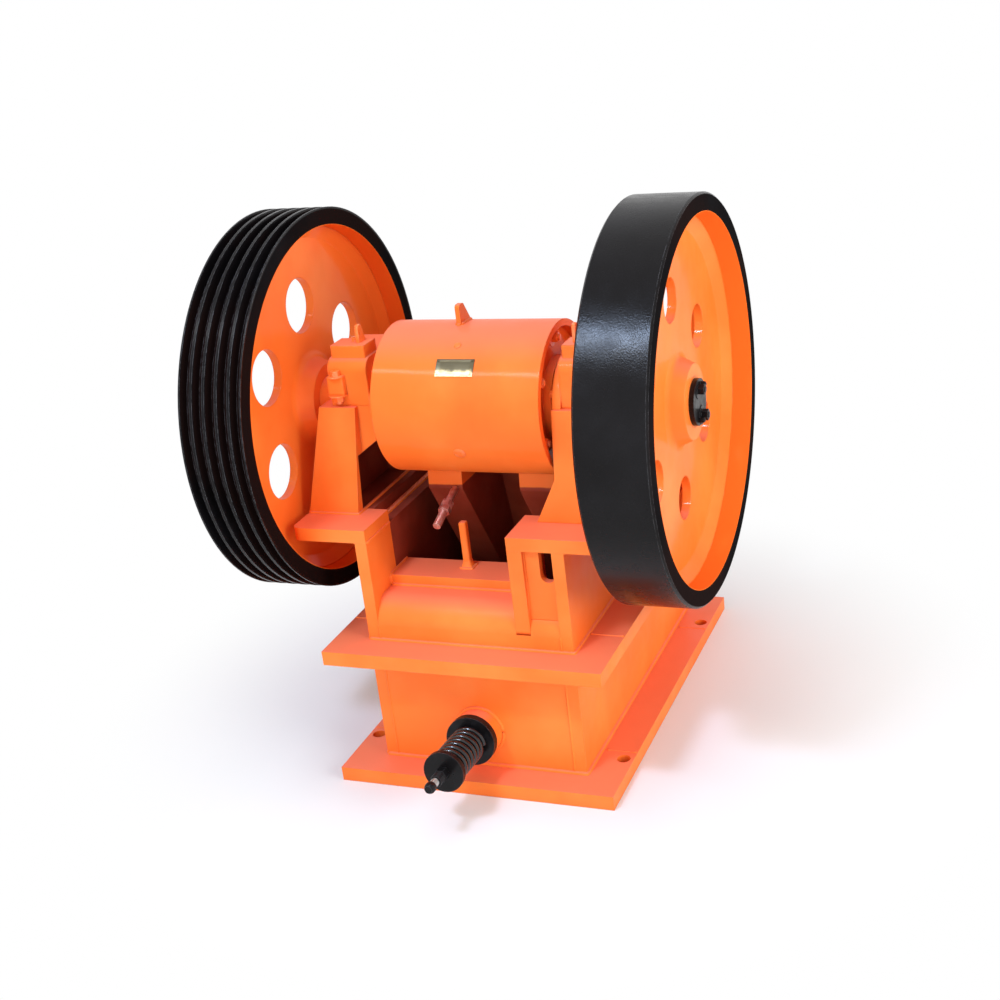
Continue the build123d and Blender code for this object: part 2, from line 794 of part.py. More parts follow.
def make_grooved_rim():
    """Sheave rim with its belt grooves."""
    inner_face = -wheel_inner_x
    outer_face = inner_face - rim_width
    points = [(outer_face, rim_inner_radius), (outer_face, wheel_radius)]
    pitch = rim_width / groove_count
    for index in range(groove_count):
        middle = outer_face + pitch * (index + 0.5)
        points.append((middle - groove_mouth / 2, wheel_radius))
        points.append((middle - groove_floor / 2, wheel_radius - groove_depth))
        points.append((middle + groove_floor / 2, wheel_radius - groove_depth))
        points.append((middle + groove_mouth / 2, wheel_radius))
    points += [(inner_face, wheel_radius), (inner_face, rim_inner_radius)]
    return wheel_turned(points)


def make_smooth_rim():
    """Flywheel rim with bevelled edges."""
    near = wheel_inner_x
    far = wheel_inner_x + rim_width
    points = [
        (near, rim_inner_radius),
        (near, wheel_radius - rim_bevel),
        (near + rim_bevel, wheel_radius),
        (far - rim_bevel, wheel_radius),
        (far, wheel_radius - rim_bevel),
        (far, rim_inner_radius),
    ]
    return wheel_turned(points)


def web_half_outline(face, end):
    """Hub, web and flare on one side of the wheel, as a closed outline of (x, radius)."""
    side = math.copysign(1, end - face)
    middle = wheel_middle_x
    flare_x = face + side * web_flare_width
    bore = journal_radius + running_gap
    points = [
        (middle, bore),
        (end, bore),
        (end, hub_radius),
        (face, hub_root_radius),
        (face, rim_inner_radius - web_flare_depth),
        (flare_x, rim_inner_radius),
        (middle, rim_inner_radius),
    ]
    return [(x, shaft_y, shaft_height + radius) for x, radius in points]


def web_turned_half(face, end):
    outline = make_face(Polyline(web_half_outline(face, end), close=True))
    solid = revolve(outline, Axis((0, shaft_y, shaft_height), X_AXIS), 360)
    circles = solid.edges().filter_by(GeomType.CIRCLE)
    root = circles.filter_by(lambda edge: math.isclose(edge.radius, hub_root_radius))
    return fillet(root, hub_fillet)


def make_wheel_web(side, hole_radius):
    """Hub and web disc in one casting, flared towards the rim, with its round holes."""
    middle = side * wheel_middle_x
    half = web_thick / 2
    inner = wheel_middle_x - half - hub_inner_reach
    web = web_turned_half(wheel_middle_x - half, inner)
    web += web_turned_half(wheel_middle_x + half, shaft_end_x)
    if side < 0:
        web = mirrored(web)
    for index in range(web_hole_count):
        angle = math.radians(web_hole_phase_deg + 360 * index / web_hole_count)
        y = shaft_y + web_hole_circle * math.cos(angle)
        z = shaft_height + web_hole_circle * math.sin(angle)
        web -= rod_along_x(hole_radius, middle - web_thick, middle + web_thick, y, z)
    return web


def make_lock_plate(side):
    near = side * shaft_end_x
    return rod_along_x(lock_plate_radius, near, near + side * lock_plate_thick, shaft_y, shaft_height)


def build_parts():
    side_wall = make_side_wall()
    cap = make_bearing_cap()
    cover = make_end_cover()
    liner = make_side_liner()
    side_flange = make_side_flange()
    return {
        "base_plate": make_base_plate(),
        "left_side_wall": side_wall,
        "right_side_wall": mirrored(side_wall),
        "rear_wall": make_rear_wall(),
        "ledge_plate": make_ledge_plate(),
        "frame_lifting_lug": make_frame_lifting_lug(),
        "inner_gusset": make_inner_gusset(),
        "left_seat_plate": make_seat_plate(inner_x),
        "right_seat_plate": mirrored(make_seat_plate(gusset_x)),
        "rear_flange": make_rear_flange(),
        "left_flange": side_flange,
        "right_flange": mirrored(side_flange),
        "feed_flange": make_feed_flange(),
        "left_pedestal": make_pedestal(),
        "right_pedestal": make_right_pedestal(),
        "left_bearing_cap": cap,
        "right_bearing_cap": mirrored(cap),
        "left_end_cover": cover,
        "right_end_cover": mirrored(cover),
        "feed_wall": make_feed_wall(),
        "fixed_jaw_plate": make_fixed_jaw_plate(),
        "left_side_liner": liner,
        "right_side_liner": mirrored(liner),
        "toggle_beam": make_toggle_beam(),
        "toggle_plate": make_toggle_plate(),
        "rod_boss": make_rod_boss(),
        "spring_seat": make_spring_seat(),
        "tension_spring": make_tension_spring(),
        "spring_end_disc": make_spring_end_disc(),
        "tension_rod": make_tension_rod(),
        "rod_nut": make_rod_nut(),
        "jaw_drum": make_jaw_drum(),
        "jaw_body": make_jaw_body(),
        "movable_jaw_plate": make_movable_jaw_plate(),
        "drum_lifting_eye": make_drum_lifting_eye(),
        "jaw_bolt": make_jaw_bolt(),
        "eccentric_shaft": make_eccentric_shaft(),
        "sheave_rim": make_grooved_rim(),
        "sheave_web": make_wheel_web(-1, sheave_hole_radius),
        "flywheel_rim": make_smooth_rim(),
        "flywheel_web": make_wheel_web(1, flywheel_hole_radius),
        "sheave_lock_plate": make_lock_plate(-1),
        "flywheel_lock_plate": make_lock_plate(1),
    }


os.makedirs("parts", exist_ok=True)
for name, shape in build_parts().items():
    export_step(shape, f"parts/{name}.step")
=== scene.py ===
import math
import random

import bpy
from mathutils import Matrix, Vector


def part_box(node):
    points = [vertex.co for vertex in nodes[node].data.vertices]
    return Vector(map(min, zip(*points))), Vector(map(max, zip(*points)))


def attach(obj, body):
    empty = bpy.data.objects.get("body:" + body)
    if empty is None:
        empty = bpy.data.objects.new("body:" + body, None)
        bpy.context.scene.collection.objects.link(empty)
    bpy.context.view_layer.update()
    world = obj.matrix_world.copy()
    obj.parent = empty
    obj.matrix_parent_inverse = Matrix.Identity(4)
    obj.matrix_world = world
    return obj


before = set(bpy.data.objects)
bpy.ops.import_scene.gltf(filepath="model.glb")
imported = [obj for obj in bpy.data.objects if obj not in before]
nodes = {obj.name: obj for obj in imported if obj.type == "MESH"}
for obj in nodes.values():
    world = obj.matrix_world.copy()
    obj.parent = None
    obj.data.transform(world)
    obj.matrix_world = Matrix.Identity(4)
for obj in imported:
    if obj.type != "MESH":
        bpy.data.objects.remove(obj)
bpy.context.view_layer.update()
random.seed(11)

X = Vector((1, 0, 0))
Y = Vector((0, 1, 0))
Z = Vector((0, 0, 1))


# Measures read from the frame, in metres

def middle(node):
    """Centre of a node's box."""
    low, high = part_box(node)
    return (low + high) / 2


wall_low, wall_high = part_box("left_side_wall")
body_x = -wall_low.x
inner_x = -wall_high.x
rear_y = wall_low.y
feed_y = wall_high.y
wall_top = wall_high.z
base_low, base_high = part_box("base_plate")
base_x = base_high.x
base_top = base_high.z
belt_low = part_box("left_flange")[0].z
belt_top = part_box("left_flange")[1].z
belt_seam_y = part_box("rear_flange")[1].y
seat_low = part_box("left_seat_plate")[0].z
seat_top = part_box("left_seat_plate")[1].z
seat_far_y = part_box("left_seat_plate")[1].y
seat_step_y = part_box("inner_gusset")[1].y
ledge_low, ledge_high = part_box("ledge_plate")
lug_low, lug_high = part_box("frame_lifting_lug")
gusset_low, gusset_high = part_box("inner_gusset")
pedestal_low, pedestal_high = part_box("left_pedestal")
cap_low, cap_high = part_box("left_bearing_cap")
cover_low, cover_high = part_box("left_end_cover")
eye_low, eye_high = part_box("drum_lifting_eye")
feed_wall_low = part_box("feed_wall")[0]
plate_low, plate_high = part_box("fixed_jaw_plate")
boss_low, boss_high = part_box("rod_boss")
rod_nut_middle = middle("rod_nut")
seat_disc_middle = middle("spring_seat")
shaft = middle("flywheel_rim")
drum = middle("jaw_drum")
drum_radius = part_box("jaw_drum")[1].y - drum.y
drum_end_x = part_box("jaw_drum")[1].x
rim_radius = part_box("flywheel_rim")[1].z - shaft.z
rim_inner_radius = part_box("flywheel_web")[1].z - shaft.z
lock_plate_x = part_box("flywheel_lock_plate")[1].x
rod_out = (rod_nut_middle - seat_disc_middle).normalized()
skin = 0.0005

# Measures that the frame's boxes don't give
rear_thick = 0.016
feed_wall_thick = 0.022
feed_wall_back = feed_wall_low.y + feed_wall_thick
pocket_back_x = -pedestal_low.x - 0.048
pocket_face = 0.018
pocket_drop = 0.066
rim_skirt = 0.010
primer_lean = 0.52
primer_set_in = 0.080
jaw_border_z = seat_top + 0.020
gusset_far_x = gusset_low.x + 0.024
plate_half_x = 0.031
plate_low_deg = 32.6
plate_high_deg = 45.8
jaw_bolt_dip = math.radians(19.0)
jaw_bolt_radius = 0.006
ear_width = 0.0275
ear_set_in = 0.002
ear_rise = 0.020
ear_thick = 0.030
ear_reach = 0.010
pad_near = 0.013


# Material nodes

class Tree:
    """A node tree, with short calls for what the materials and the world share."""

    def __init__(self, tree):
        self.tree = tree

    def add(self, kind, **settings):
        """New node with those settings."""
        node = self.tree.nodes.new(kind)
        for key, value in settings.items():
            setattr(node, key, value)
        return node

    def feed(self, socket, value):
        """Link the socket to another one, or give it a plain value."""
        if isinstance(value, bpy.types.NodeSocket):
            self.tree.links.new(value, socket)
        else:
            socket.default_value = value

    def math(self, operation, a, b=0.0, clamp=False):
        """Result of one operation."""
        node = self.add("ShaderNodeMath", operation=operation, use_clamp=clamp)
        self.feed(node.inputs[0], a)
        self.feed(node.inputs[1], b)
        return node.outputs[0]

    def times(self, a, b):
        """One value times the other."""
        return self.math("MULTIPLY", a, b)

    def distance(self, across, up):
        """Length of the slope that goes that far across and up."""
        return self.math("SQRT", self.math("ADD", self.times(across, across), self.times(up, up)))

    def looked_at(self):
        """1 for rays that show what they meet, and 0 for rays that only gather its light."""
        paths = self.add("ShaderNodeLightPath").outputs
        shown = self.math("MAXIMUM", paths["Is Camera Ray"], paths["Is Glossy Ray"])
        return self.math("MAXIMUM", shown, paths["Is Transmission Ray"])

    def blend(self, share, a, b):
        """Shader that goes from a to b as the share grows."""
        node = self.add("ShaderNodeMixShader")
        for index, value in enumerate((share, a, b)):
            self.feed(node.inputs[index], value)
        return node.outputs[0]


class Shade(Tree):
    """One material's node tree."""

    ray_samples = 4
    upright_z = 0.62

    def __init__(self, name, coat=0.0, coat_roughness=0.1, specular=0.5):
        self.material = bpy.data.materials.new(name)
        self.material.use_nodes = True
        super().__init__(self.material.node_tree)
        self.shader = self.tree.nodes["Principled BSDF"]
        self.place = self.add("ShaderNodeTexCoord").outputs["Object"]
        self.shader.inputs["Coat Weight"].default_value = coat
        self.shader.inputs["Coat Roughness"].default_value = coat_roughness
        self.shader.inputs["Specular IOR Level"].default_value = specular
        parts = self.add("ShaderNodeSeparateXYZ")
        self.feed(parts.inputs[0], self.place)
        self.x, self.y, self.z = parts.outputs

    def noise(self, scale, detail=3.0, stretch=(1, 1, 1)):
        """Noise over the piece; scale counts its waves in a metre."""
        mapping = self.add("ShaderNodeMapping")
        mapping.inputs["Scale"].default_value = stretch
        self.feed(mapping.inputs["Vector"], self.place)
        node = self.add("ShaderNodeTexNoise")
        node.inputs["Scale"].default_value = scale
        node.inputs["Detail"].default_value = detail
        self.feed(node.inputs["Vector"], mapping.outputs[0])
        return node.outputs["Fac"]

    def steps(self, value, low, high, to_low=0.0, to_high=1.0):
        """Smooth step from to_low to to_high, as value goes from low to high."""
        node = self.add("ShaderNodeMapRange", interpolation_type="SMOOTHSTEP")
        ends = {"From Min": low, "From Max": high, "To Min": to_low, "To Max": to_high}
        self.feed(node.inputs["Value"], value)
        for key, end in ends.items():
            self.feed(node.inputs[key], end)
        return node.outputs["Result"]

    def clouds(self, scale, detail, low, high, to_low=0.0, to_high=1.0):
        """Soft-edged patches, where noise goes from low to high."""
        return self.steps(self.noise(scale, detail), low, high, to_low, to_high)

    def patchy(self, scale, detail, least, most):
        """Value that wanders between two limits over the piece."""
        return self.clouds(scale, detail, 0.3, 0.7, least, most)

    def mix(self, share, a, b):
        """Colour that goes from a to b as the share grows."""
        node = self.add("ShaderNodeMix", data_type="RGBA")
        for index, value in ((0, share), (6, a), (7, b)):
            if isinstance(value, tuple):
                value = (*value, 1.0)
            self.feed(node.inputs[index], value)
        return node.outputs[2]

    def radius_about_shaft(self):
        """Distance from the shaft's line."""
        across = self.math("SUBTRACT", self.y, shaft.y)
        return self.distance(across, self.math("SUBTRACT", self.z, shaft.z))

    def edges(self, radius):
        """Rounded normal, and how far it leaves the flat one: 0 on faces, up to 1 on corners."""
        bevel = self.add("ShaderNodeBevel", samples=self.ray_samples)
        bevel.inputs["Radius"].default_value = radius
        flat = self.add("ShaderNodeNewGeometry").outputs["Normal"]
        dot = self.add("ShaderNodeVectorMath", operation="DOT_PRODUCT")
        self.feed(dot.inputs[0], bevel.outputs[0])
        self.feed(dot.inputs[1], flat)
        return bevel.outputs[0], self.math("SUBTRACT", 1.0, dot.outputs["Value"], clamp=True)

    def upward(self):
        """1 on faces that look up, 0 on upright ones."""
        parts = self.add("ShaderNodeSeparateXYZ")
        self.feed(parts.inputs[0], self.add("ShaderNodeTexCoord").outputs["Normal"])
        return self.steps(parts.outputs[2], self.upright_z, 1.0)

    def hollows(self, reach):
        """1 in the open, down to 0 deep in corners."""
        node = self.add("ShaderNodeAmbientOcclusion", samples=self.ray_samples)
        node.inputs["Distance"].default_value = reach
        return node.outputs["AO"]

    def bump(self, height, depth, normal=None):
        """Normal raised by the height, of which 1 stands for the depth in metres."""
        node = self.add("ShaderNodeBump")
        node.inputs["Strength"].default_value = 1.0
        node.inputs["Distance"].default_value = depth
        self.feed(node.inputs["Height"], height)
        if normal is not None:
            self.feed(node.inputs["Normal"], normal)
        return node.outputs[0]

    def finish(self, colour, roughness, normal, metallic=0.0):
        """The finished material."""
        self.feed(self.shader.inputs["Base Color"], colour)
        self.feed(self.shader.inputs["Roughness"], roughness)
        self.feed(self.shader.inputs["Metallic"], metallic)
        self.feed(self.shader.inputs["Normal"], normal)
        self.feed(self.shader.inputs["Coat Normal"], normal)
        return self.material


# Colours, linear
ORANGE = (0.93, 0.182, 0.024)
ORANGE_PALE = (0.95, 0.235, 0.040)
ORANGE_DEEP = (0.62, 0.095, 0.016)
# pale edge colour: wear, and partly a painted edge highlight
ORANGE_EDGE_WEAR_AND_GLINT = (0.97, 0.30, 0.14)
# painted sheen: pinkish tint for faces that look up
ORANGE_TOP_SHEEN = (0.88, 0.200, 0.105)
PRIMER = (0.240, 0.032, 0.014)
PRIMER_PALE = (0.320, 0.054, 0.027)
PRIMER_DEEP = (0.075, 0.012, 0.009)
BLACK = (0.0045, 0.0038, 0.0042)
BLACK_PALE = (0.0085, 0.0078, 0.0088)
# pale edge colour: wear, and a painted highlight along edges
BLACK_EDGE_WEAR_AND_GLINT = (0.15, 0.15, 0.16)
BLACK_BROWN = (0.010, 0.0050, 0.0045)
STEEL = (0.42, 0.41, 0.40)
STEEL_DARK = (0.10, 0.098, 0.096)
STEEL_PALE = (0.66, 0.65, 0.63)
CAST_STEEL = (0.105, 0.098, 0.092)
CAST_STEEL_DEEP = (0.040, 0.035, 0.032)
CAST_STEEL_WORN = (0.30, 0.29, 0.28)
RUST = (0.12, 0.045, 0.02)
BRASS = (0.50, 0.38, 0.15)
BRASS_PALE = (0.72, 0.60, 0.34)
BRASS_DEEP = (0.050, 0.040, 0.020)
BOLT_ORANGE = (0.90, 0.23, 0.07)
BOLT_RUBBED = (0.85, 0.42, 0.24)
BOLT_PRIMED = (0.40, 0.11, 0.08)
BOLT_PRIMED_PALE = (0.52, 0.24, 0.19)
BOLT_PRIMED_WORN = (0.70, 0.46, 0.40)
FLOOR_GREY = (0.80, 0.80, 0.80)
FLOOR_PALE = (0.82, 0.82, 0.82)
WORLD_LIGHT = (1.0, 0.98, 0.99)
WHITE = (1.0, 1.0, 1.0)


# Where the primer shows: 1 on it and 0 off it, in each piece's own coordinates at rest

def wall_primer(shade):
    """Inner faces of the side walls behind a slanted line, and their upper edges beside the jaw."""
    wobble_size = 0.012
    soft = 0.003
    out_x = shade.math("ABSOLUTE", shade.x)
    inside = shade.steps(out_x, inner_x + skin, inner_x + skin / 2)
    lean = shade.times(shade.math("SUBTRACT", seat_top, shade.z), primer_lean)
    line = shade.math("ADD", lean, rear_y + primer_set_in)
    wobble = shade.times(shade.noise(30), wobble_size)
    behind = shade.math("SUBTRACT", shade.y, shade.math("ADD", line, wobble))
    faces = shade.times(inside, shade.steps(behind, -soft, soft))
    below_rim = shade.math("LESS_THAN", shade.z, wall_top - rim_skirt)
    edge = shade.times(shade.math("LESS_THAN", out_x, body_x - skin), below_rim)
    edge = shade.times(edge, shade.math("GREATER_THAN", shade.y, seat_step_y))
    in_chamber = shade.math("LESS_THAN", shade.y, feed_wall_low.y + feed_wall_thick / 2)
    return shade.times(shade.math("MAXIMUM", faces, edge), in_chamber)


def seat_primer(shade):
    """Top of the seat plates beside the jaw, inside the pedestals' pockets."""
    soft = 0.002
    within = shade.math("LESS_THAN", shade.math("ABSOLUTE", shade.x), pocket_back_x + skin)
    return shade.times(within, shade.steps(shade.y, seat_step_y - soft, seat_step_y + soft))


def rear_wall_primer(shade):
    """Inner side of the bent rear wall."""
    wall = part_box("rear_wall")
    inside = shade.steps(shade.y, wall[0].y + rear_thick - skin, wall[0].y + rear_thick)
    under = shade.steps(shade.z, wall[1].z - rear_thick + skin, wall[1].z - rear_thick)
    return shade.times(inside, under)


def pocket_primer(shade):
    """Walls of the pedestals' pockets."""
    half = (pedestal_high.y - pedestal_low.y) / 2 - pocket_face + skin
    from_shaft = shade.math("ABSOLUTE", shade.math("SUBTRACT", shade.y, shaft.y))
    between = shade.math("LESS_THAN", from_shaft, half)
    within = shade.math("LESS_THAN", shade.math("ABSOLUTE", shade.x), pocket_back_x + skin)
    below = shade.math("LESS_THAN", shade.z, shaft.z - pocket_drop + skin)
    return shade.times(shade.times(between, within), below)


def jaw_primer(shade):
    """Jaw body under the drum's overspray, masked off along a level line."""
    wobble_size = 0.004
    soft = 0.0015
    border = shade.math("ADD", shade.z, shade.times(shade.noise(25), wobble_size))
    return shade.steps(border, jaw_border_z + soft, jaw_border_z - soft)


def feed_primer(shade):
    """Chamber side of the feed wall."""
    return shade.steps(shade.y, feed_wall_low.y + skin, feed_wall_low.y + skin / 2)


# Materials

def enamel_coat(shade, radius, wave=0.0007, peel=0.00004):
    """Uneven skin of sprayed enamel: rounded edges, slow waves and a fine orange peel."""
    rounded, edge = shade.edges(radius)
    waves = shade.bump(shade.noise(13, 2.0), wave, rounded)
    return shade.bump(shade.noise(420, 2.0), peel, waves), edge


def worn_and_glinting_edges(shade, edge, colour, pale, dark):
    """Edges rubbed pale in places, partly wear and partly a painted edge highlight, with a few dark chips.
    """
    rubbed = shade.times(shade.steps(edge, 0.06, 0.22), shade.clouds(45, 5.0, 0.50, 0.66))
    colour = shade.mix(shade.times(rubbed, 0.55), colour, pale)
    chips = shade.times(shade.steps(edge, 0.12, 0.24), shade.clouds(120, 3.0, 0.70, 0.73))
    return shade.mix(shade.times(chips, 0.7), colour, dark)


def orange_enamel(name, primer_where=None, radius=0.0014, gloss=0.0):
    """Sprayed orange paint; gloss runs from 0 on the plates to 1 on the castings."""
    coat = 0.05 + 0.17 * gloss
    coat_roughness = 0.22 - 0.12 * gloss
    specular = 0.24 - 0.18 * gloss
    shade = Shade(name, coat, coat_roughness, specular)
    normal, edge = enamel_coat(shade, radius)
    colour = shade.mix(shade.clouds(6.5, 4.0, 0.38, 0.72), ORANGE, ORANGE_PALE)
    clouds = shade.noise(7, 4.0, stretch=(1.0, 1.0, 0.35))
    colour = shade.mix(shade.steps(clouds, 0.52, 0.78, 0.0, 0.26), colour, ORANGE_DEEP)
    # painted sheen: faces that look up are tinted pinkish, like a reflection of the sky
    colour = shade.mix(shade.times(shade.upward(), 0.8), colour, ORANGE_TOP_SHEEN)
    # painted shade: darker towards ORANGE_DEEP in corners and hollows, where shade falls
    corners = shade.steps(shade.hollows(reach=0.030), 0.66, 0.15, 0.0, 0.55)
    colour = shade.mix(corners, colour, ORANGE_DEEP)
    colour = worn_and_glinting_edges(shade, edge, colour, ORANGE_EDGE_WEAR_AND_GLINT, PRIMER_DEEP)
    rough = shade.clouds(20, 4.0, 0.30, 0.75, 0.44, 0.58)
    if primer_where is not None:
        primer = primer_where(shade)
        colour = shade.mix(primer, colour, primer_colour(shade))
        rough = shade.math("ADD", rough, shade.times(primer, 0.15))
    return shade.finish(colour, rough, normal)


def primer_colour(shade):
    """Red-brown primer, dusty in patches, with painted shade darkening it in the hollows."""
    patches = shade.mix(shade.clouds(14, 5.0, 0.35, 0.72), PRIMER, PRIMER_PALE)
    # painted shade: darker towards PRIMER_DEEP in hollows, where shade falls
    depth = shade.steps(shade.hollows(reach=0.06), 0.80, 0.15, 0.0, 0.45)
    return shade.mix(depth, patches, PRIMER_DEEP)


def dark_primer():
    """Cast pieces of the toggle, primed and worn pale on their edges."""
    shade = Shade("dark_primer_coat", specular=0.35)
    rounded, edge = shade.edges(radius=0.002)
    cast = shade.bump(shade.noise(150, 4.0), 0.0004, rounded)
    colour = shade.mix(shade.steps(edge, 0.05, 0.25, 0.0, 0.5), primer_colour(shade), PRIMER_PALE)
    rough = shade.patchy(40, 4.0, 0.50, 0.78)
    return shade.finish(colour, rough, cast)


def black_enamel(name, radius=0.0014):
    """Thin black paint on a rim, glossy on its skin alone; the bore keeps the web's orange."""
    face_radius = rim_radius - 0.001
    shade = Shade(name, coat=0.02, coat_roughness=0.20)
    from_shaft = shade.radius_about_shaft()
    skin_gloss = shade.steps(from_shaft, rim_radius - 0.004, face_radius, 0.0, 0.14)
    shade.feed(shade.shader.inputs["Specular IOR Level"], skin_gloss)
    normal, edge = enamel_coat(shade, radius, wave=0.0004, peel=0.00022)
    colour = shade.mix(shade.clouds(7, 4.0, 0.40, 0.75), BLACK, BLACK_PALE)
    grain = shade.clouds(620, 3.0, 0.58, 0.70, 0.0, 0.5)
    colour = shade.mix(grain, colour, BLACK_PALE)
    # pale rubbed edges: partly wear, partly a painted highlight along the rim's edges
    worn_and_glint = shade.times(shade.steps(edge, 0.03, 0.18), shade.clouds(90, 4.0, 0.30, 0.60))
    face = shade.steps(from_shaft, face_radius, rim_radius - 0.003)
    brown = shade.times(face, shade.clouds(5, 3.0, 0.40, 0.60))
    colour = shade.mix(brown, colour, BLACK_BROWN)
    colour = shade.mix(worn_and_glint, colour, BLACK_EDGE_WEAR_AND_GLINT)
    rough = shade.clouds(30, 5.0, 0.30, 0.72, 0.20, 0.30)
    bore = shade.steps(from_shaft, rim_inner_radius + skin * 2, rim_inner_radius + skin)
    colour = shade.mix(bore, colour, ORANGE)
    return shade.finish(colour, rough, normal)


def spring_steel():
    """Oil-black spring wire with a hard gloss."""
    shade = Shade("spring_steel_coat", coat=0.7, coat_roughness=0.06, specular=0.3)
    colour = shade.mix(shade.clouds(60, 4.0, 0.4, 0.7), BLACK, BLACK_PALE)
    rust = shade.clouds(120, 5.0, 0.72, 0.80, 0.0, 0.2)
    colour = shade.mix(rust, colour, RUST)
    rough = shade.patchy(90, 3.0, 0.16, 0.30)
    return shade.finish(colour, rough, shade.bump(shade.noise(600, 2.0), 0.00004))


def oiled_black():
    """Discs, nuts and lock plates: black steel with a wet look."""
    shade = Shade("oiled_black_steel", coat=0.15, coat_roughness=0.14, specular=0.12)
    normal, edge = enamel_coat(shade, radius=0.0010, wave=0.0003, peel=0.0001)
    colour = shade.mix(shade.clouds(50, 4.0, 0.40, 0.70), BLACK, BLACK_PALE)
    # pale edges: partly wear, partly a painted edge highlight
    colour = shade.mix(shade.steps(edge, 0.04, 0.22, 0.0, 0.5), colour, BLACK_EDGE_WEAR_AND_GLINT)
    rough = shade.patchy(70, 4.0, 0.26, 0.46)
    return shade.finish(colour, rough, normal)


def bright_steel():
    """Turned and threaded steel, stained in places."""
    shade = Shade("bright_steel_turned")
    rounded, edge = shade.edges(radius=0.0006)
    turned = shade.noise(900, 2.0, stretch=(1, 0.06, 0.06))
    colour = shade.mix(shade.steps(turned, 0.3, 0.7), STEEL, STEEL_PALE)
    stain = shade.clouds(35, 5.0, 0.55, 0.75, 0.0, 0.5)
    colour = shade.mix(stain, colour, STEEL_DARK)
    colour = shade.mix(shade.steps(edge, 0.04, 0.2, 0.0, 0.6), colour, STEEL_PALE)
    rough = shade.patchy(50, 4.0, 0.18, 0.38)
    return shade.finish(colour, rough, shade.bump(turned, 0.00004, rounded), metallic=1.0)


def manganese_steel():
    """Rough cast plates, rubbed bright on the crests of the teeth."""
    shade = Shade("manganese_cast", specular=0.5)
    rounded, edge = shade.edges(radius=0.003)
    colour = shade.mix(shade.clouds(30, 5.0, 0.35, 0.7), CAST_STEEL, CAST_STEEL_DEEP)
    rub = shade.times(shade.steps(edge, 0.03, 0.2), shade.clouds(110, 4.0, 0.4, 0.6))
    colour = shade.mix(rub, colour, CAST_STEEL_WORN)
    rust = shade.clouds(18, 6.0, 0.60, 0.72, 0.0, 0.6)
    colour = shade.mix(rust, colour, RUST)
    rough = shade.patchy(60, 4.0, 0.48, 0.75)
    grains = shade.bump(shade.noise(260, 4.0), 0.0005, rounded)
    return shade.finish(colour, rough, shade.bump(shade.noise(28, 3.0), 0.0012, grains), metallic=0.65)


def painted_bolt():
    """Small fasteners: paint over zinc, rubbed on the corners by the spanner."""
    shade = Shade("painted_fastener", coat=0.3, coat_roughness=0.14, specular=0.35)
    rounded, edge = shade.edges(radius=0.0007)
    rubbed = shade.times(shade.steps(edge, 0.02, 0.14), shade.clouds(240, 3.0, 0.35, 0.55))
    base = shade.mix(shade.clouds(70, 4.0, 0.4, 0.65), ORANGE, BOLT_ORANGE)
    colour = shade.mix(shade.times(rubbed, 0.6), base, BOLT_RUBBED)
    rough = shade.patchy(120, 3.0, 0.25, 0.45)
    return shade.finish(colour, rough, shade.bump(shade.noise(300, 2.0), 0.00008, rounded))


def primed_bolt():
    """The jaw plate's clamp bolt: steel under a thin coat of primer."""
    shade = Shade("primed_fastener", specular=0.5)
    rounded, edge = shade.edges(radius=0.0006)
    colour = shade.mix(shade.clouds(80, 4.0, 0.35, 0.65), BOLT_PRIMED, BOLT_PRIMED_PALE)
    colour = shade.mix(shade.steps(edge, 0.03, 0.2, 0.0, 0.6), colour, BOLT_PRIMED_WORN)
    rough = shade.patchy(120, 3.0, 0.24, 0.44)
    return shade.finish(colour, rough, shade.bump(shade.noise(400, 2.0), 0.00006, rounded), metallic=0.45)


def brass_plate():
    """Bare plate: darker olive towards the top in mottled patches, cream below where the light falls."""
    shade = Shade("bare_brass", specular=0.5)
    rounded, edge = shade.edges(radius=0.0004)
    brushed = shade.noise(700, 3.0, stretch=(0.05, 1, 1))
    colour = shade.mix(shade.steps(brushed, 0.3, 0.7), BRASS, BRASS_PALE)
    high = shade.steps(shade.z, on_drum(0, plate_low_deg).z, on_drum(0, plate_high_deg).z)
    # darker towards the top, broken up by mottled noise
    stain = shade.math("ADD", high, shade.times(shade.noise(90, 5.0), 0.8))
    colour = shade.mix(shade.steps(stain, 0.40, 0.90, 0.0, 0.94), colour, BRASS_DEEP)
    rough = shade.patchy(80, 3.0, 0.30, 0.46)
    return shade.finish(colour, rough, shade.bump(brushed, 0.00003, rounded), metallic=0.7)


# Mesh helpers

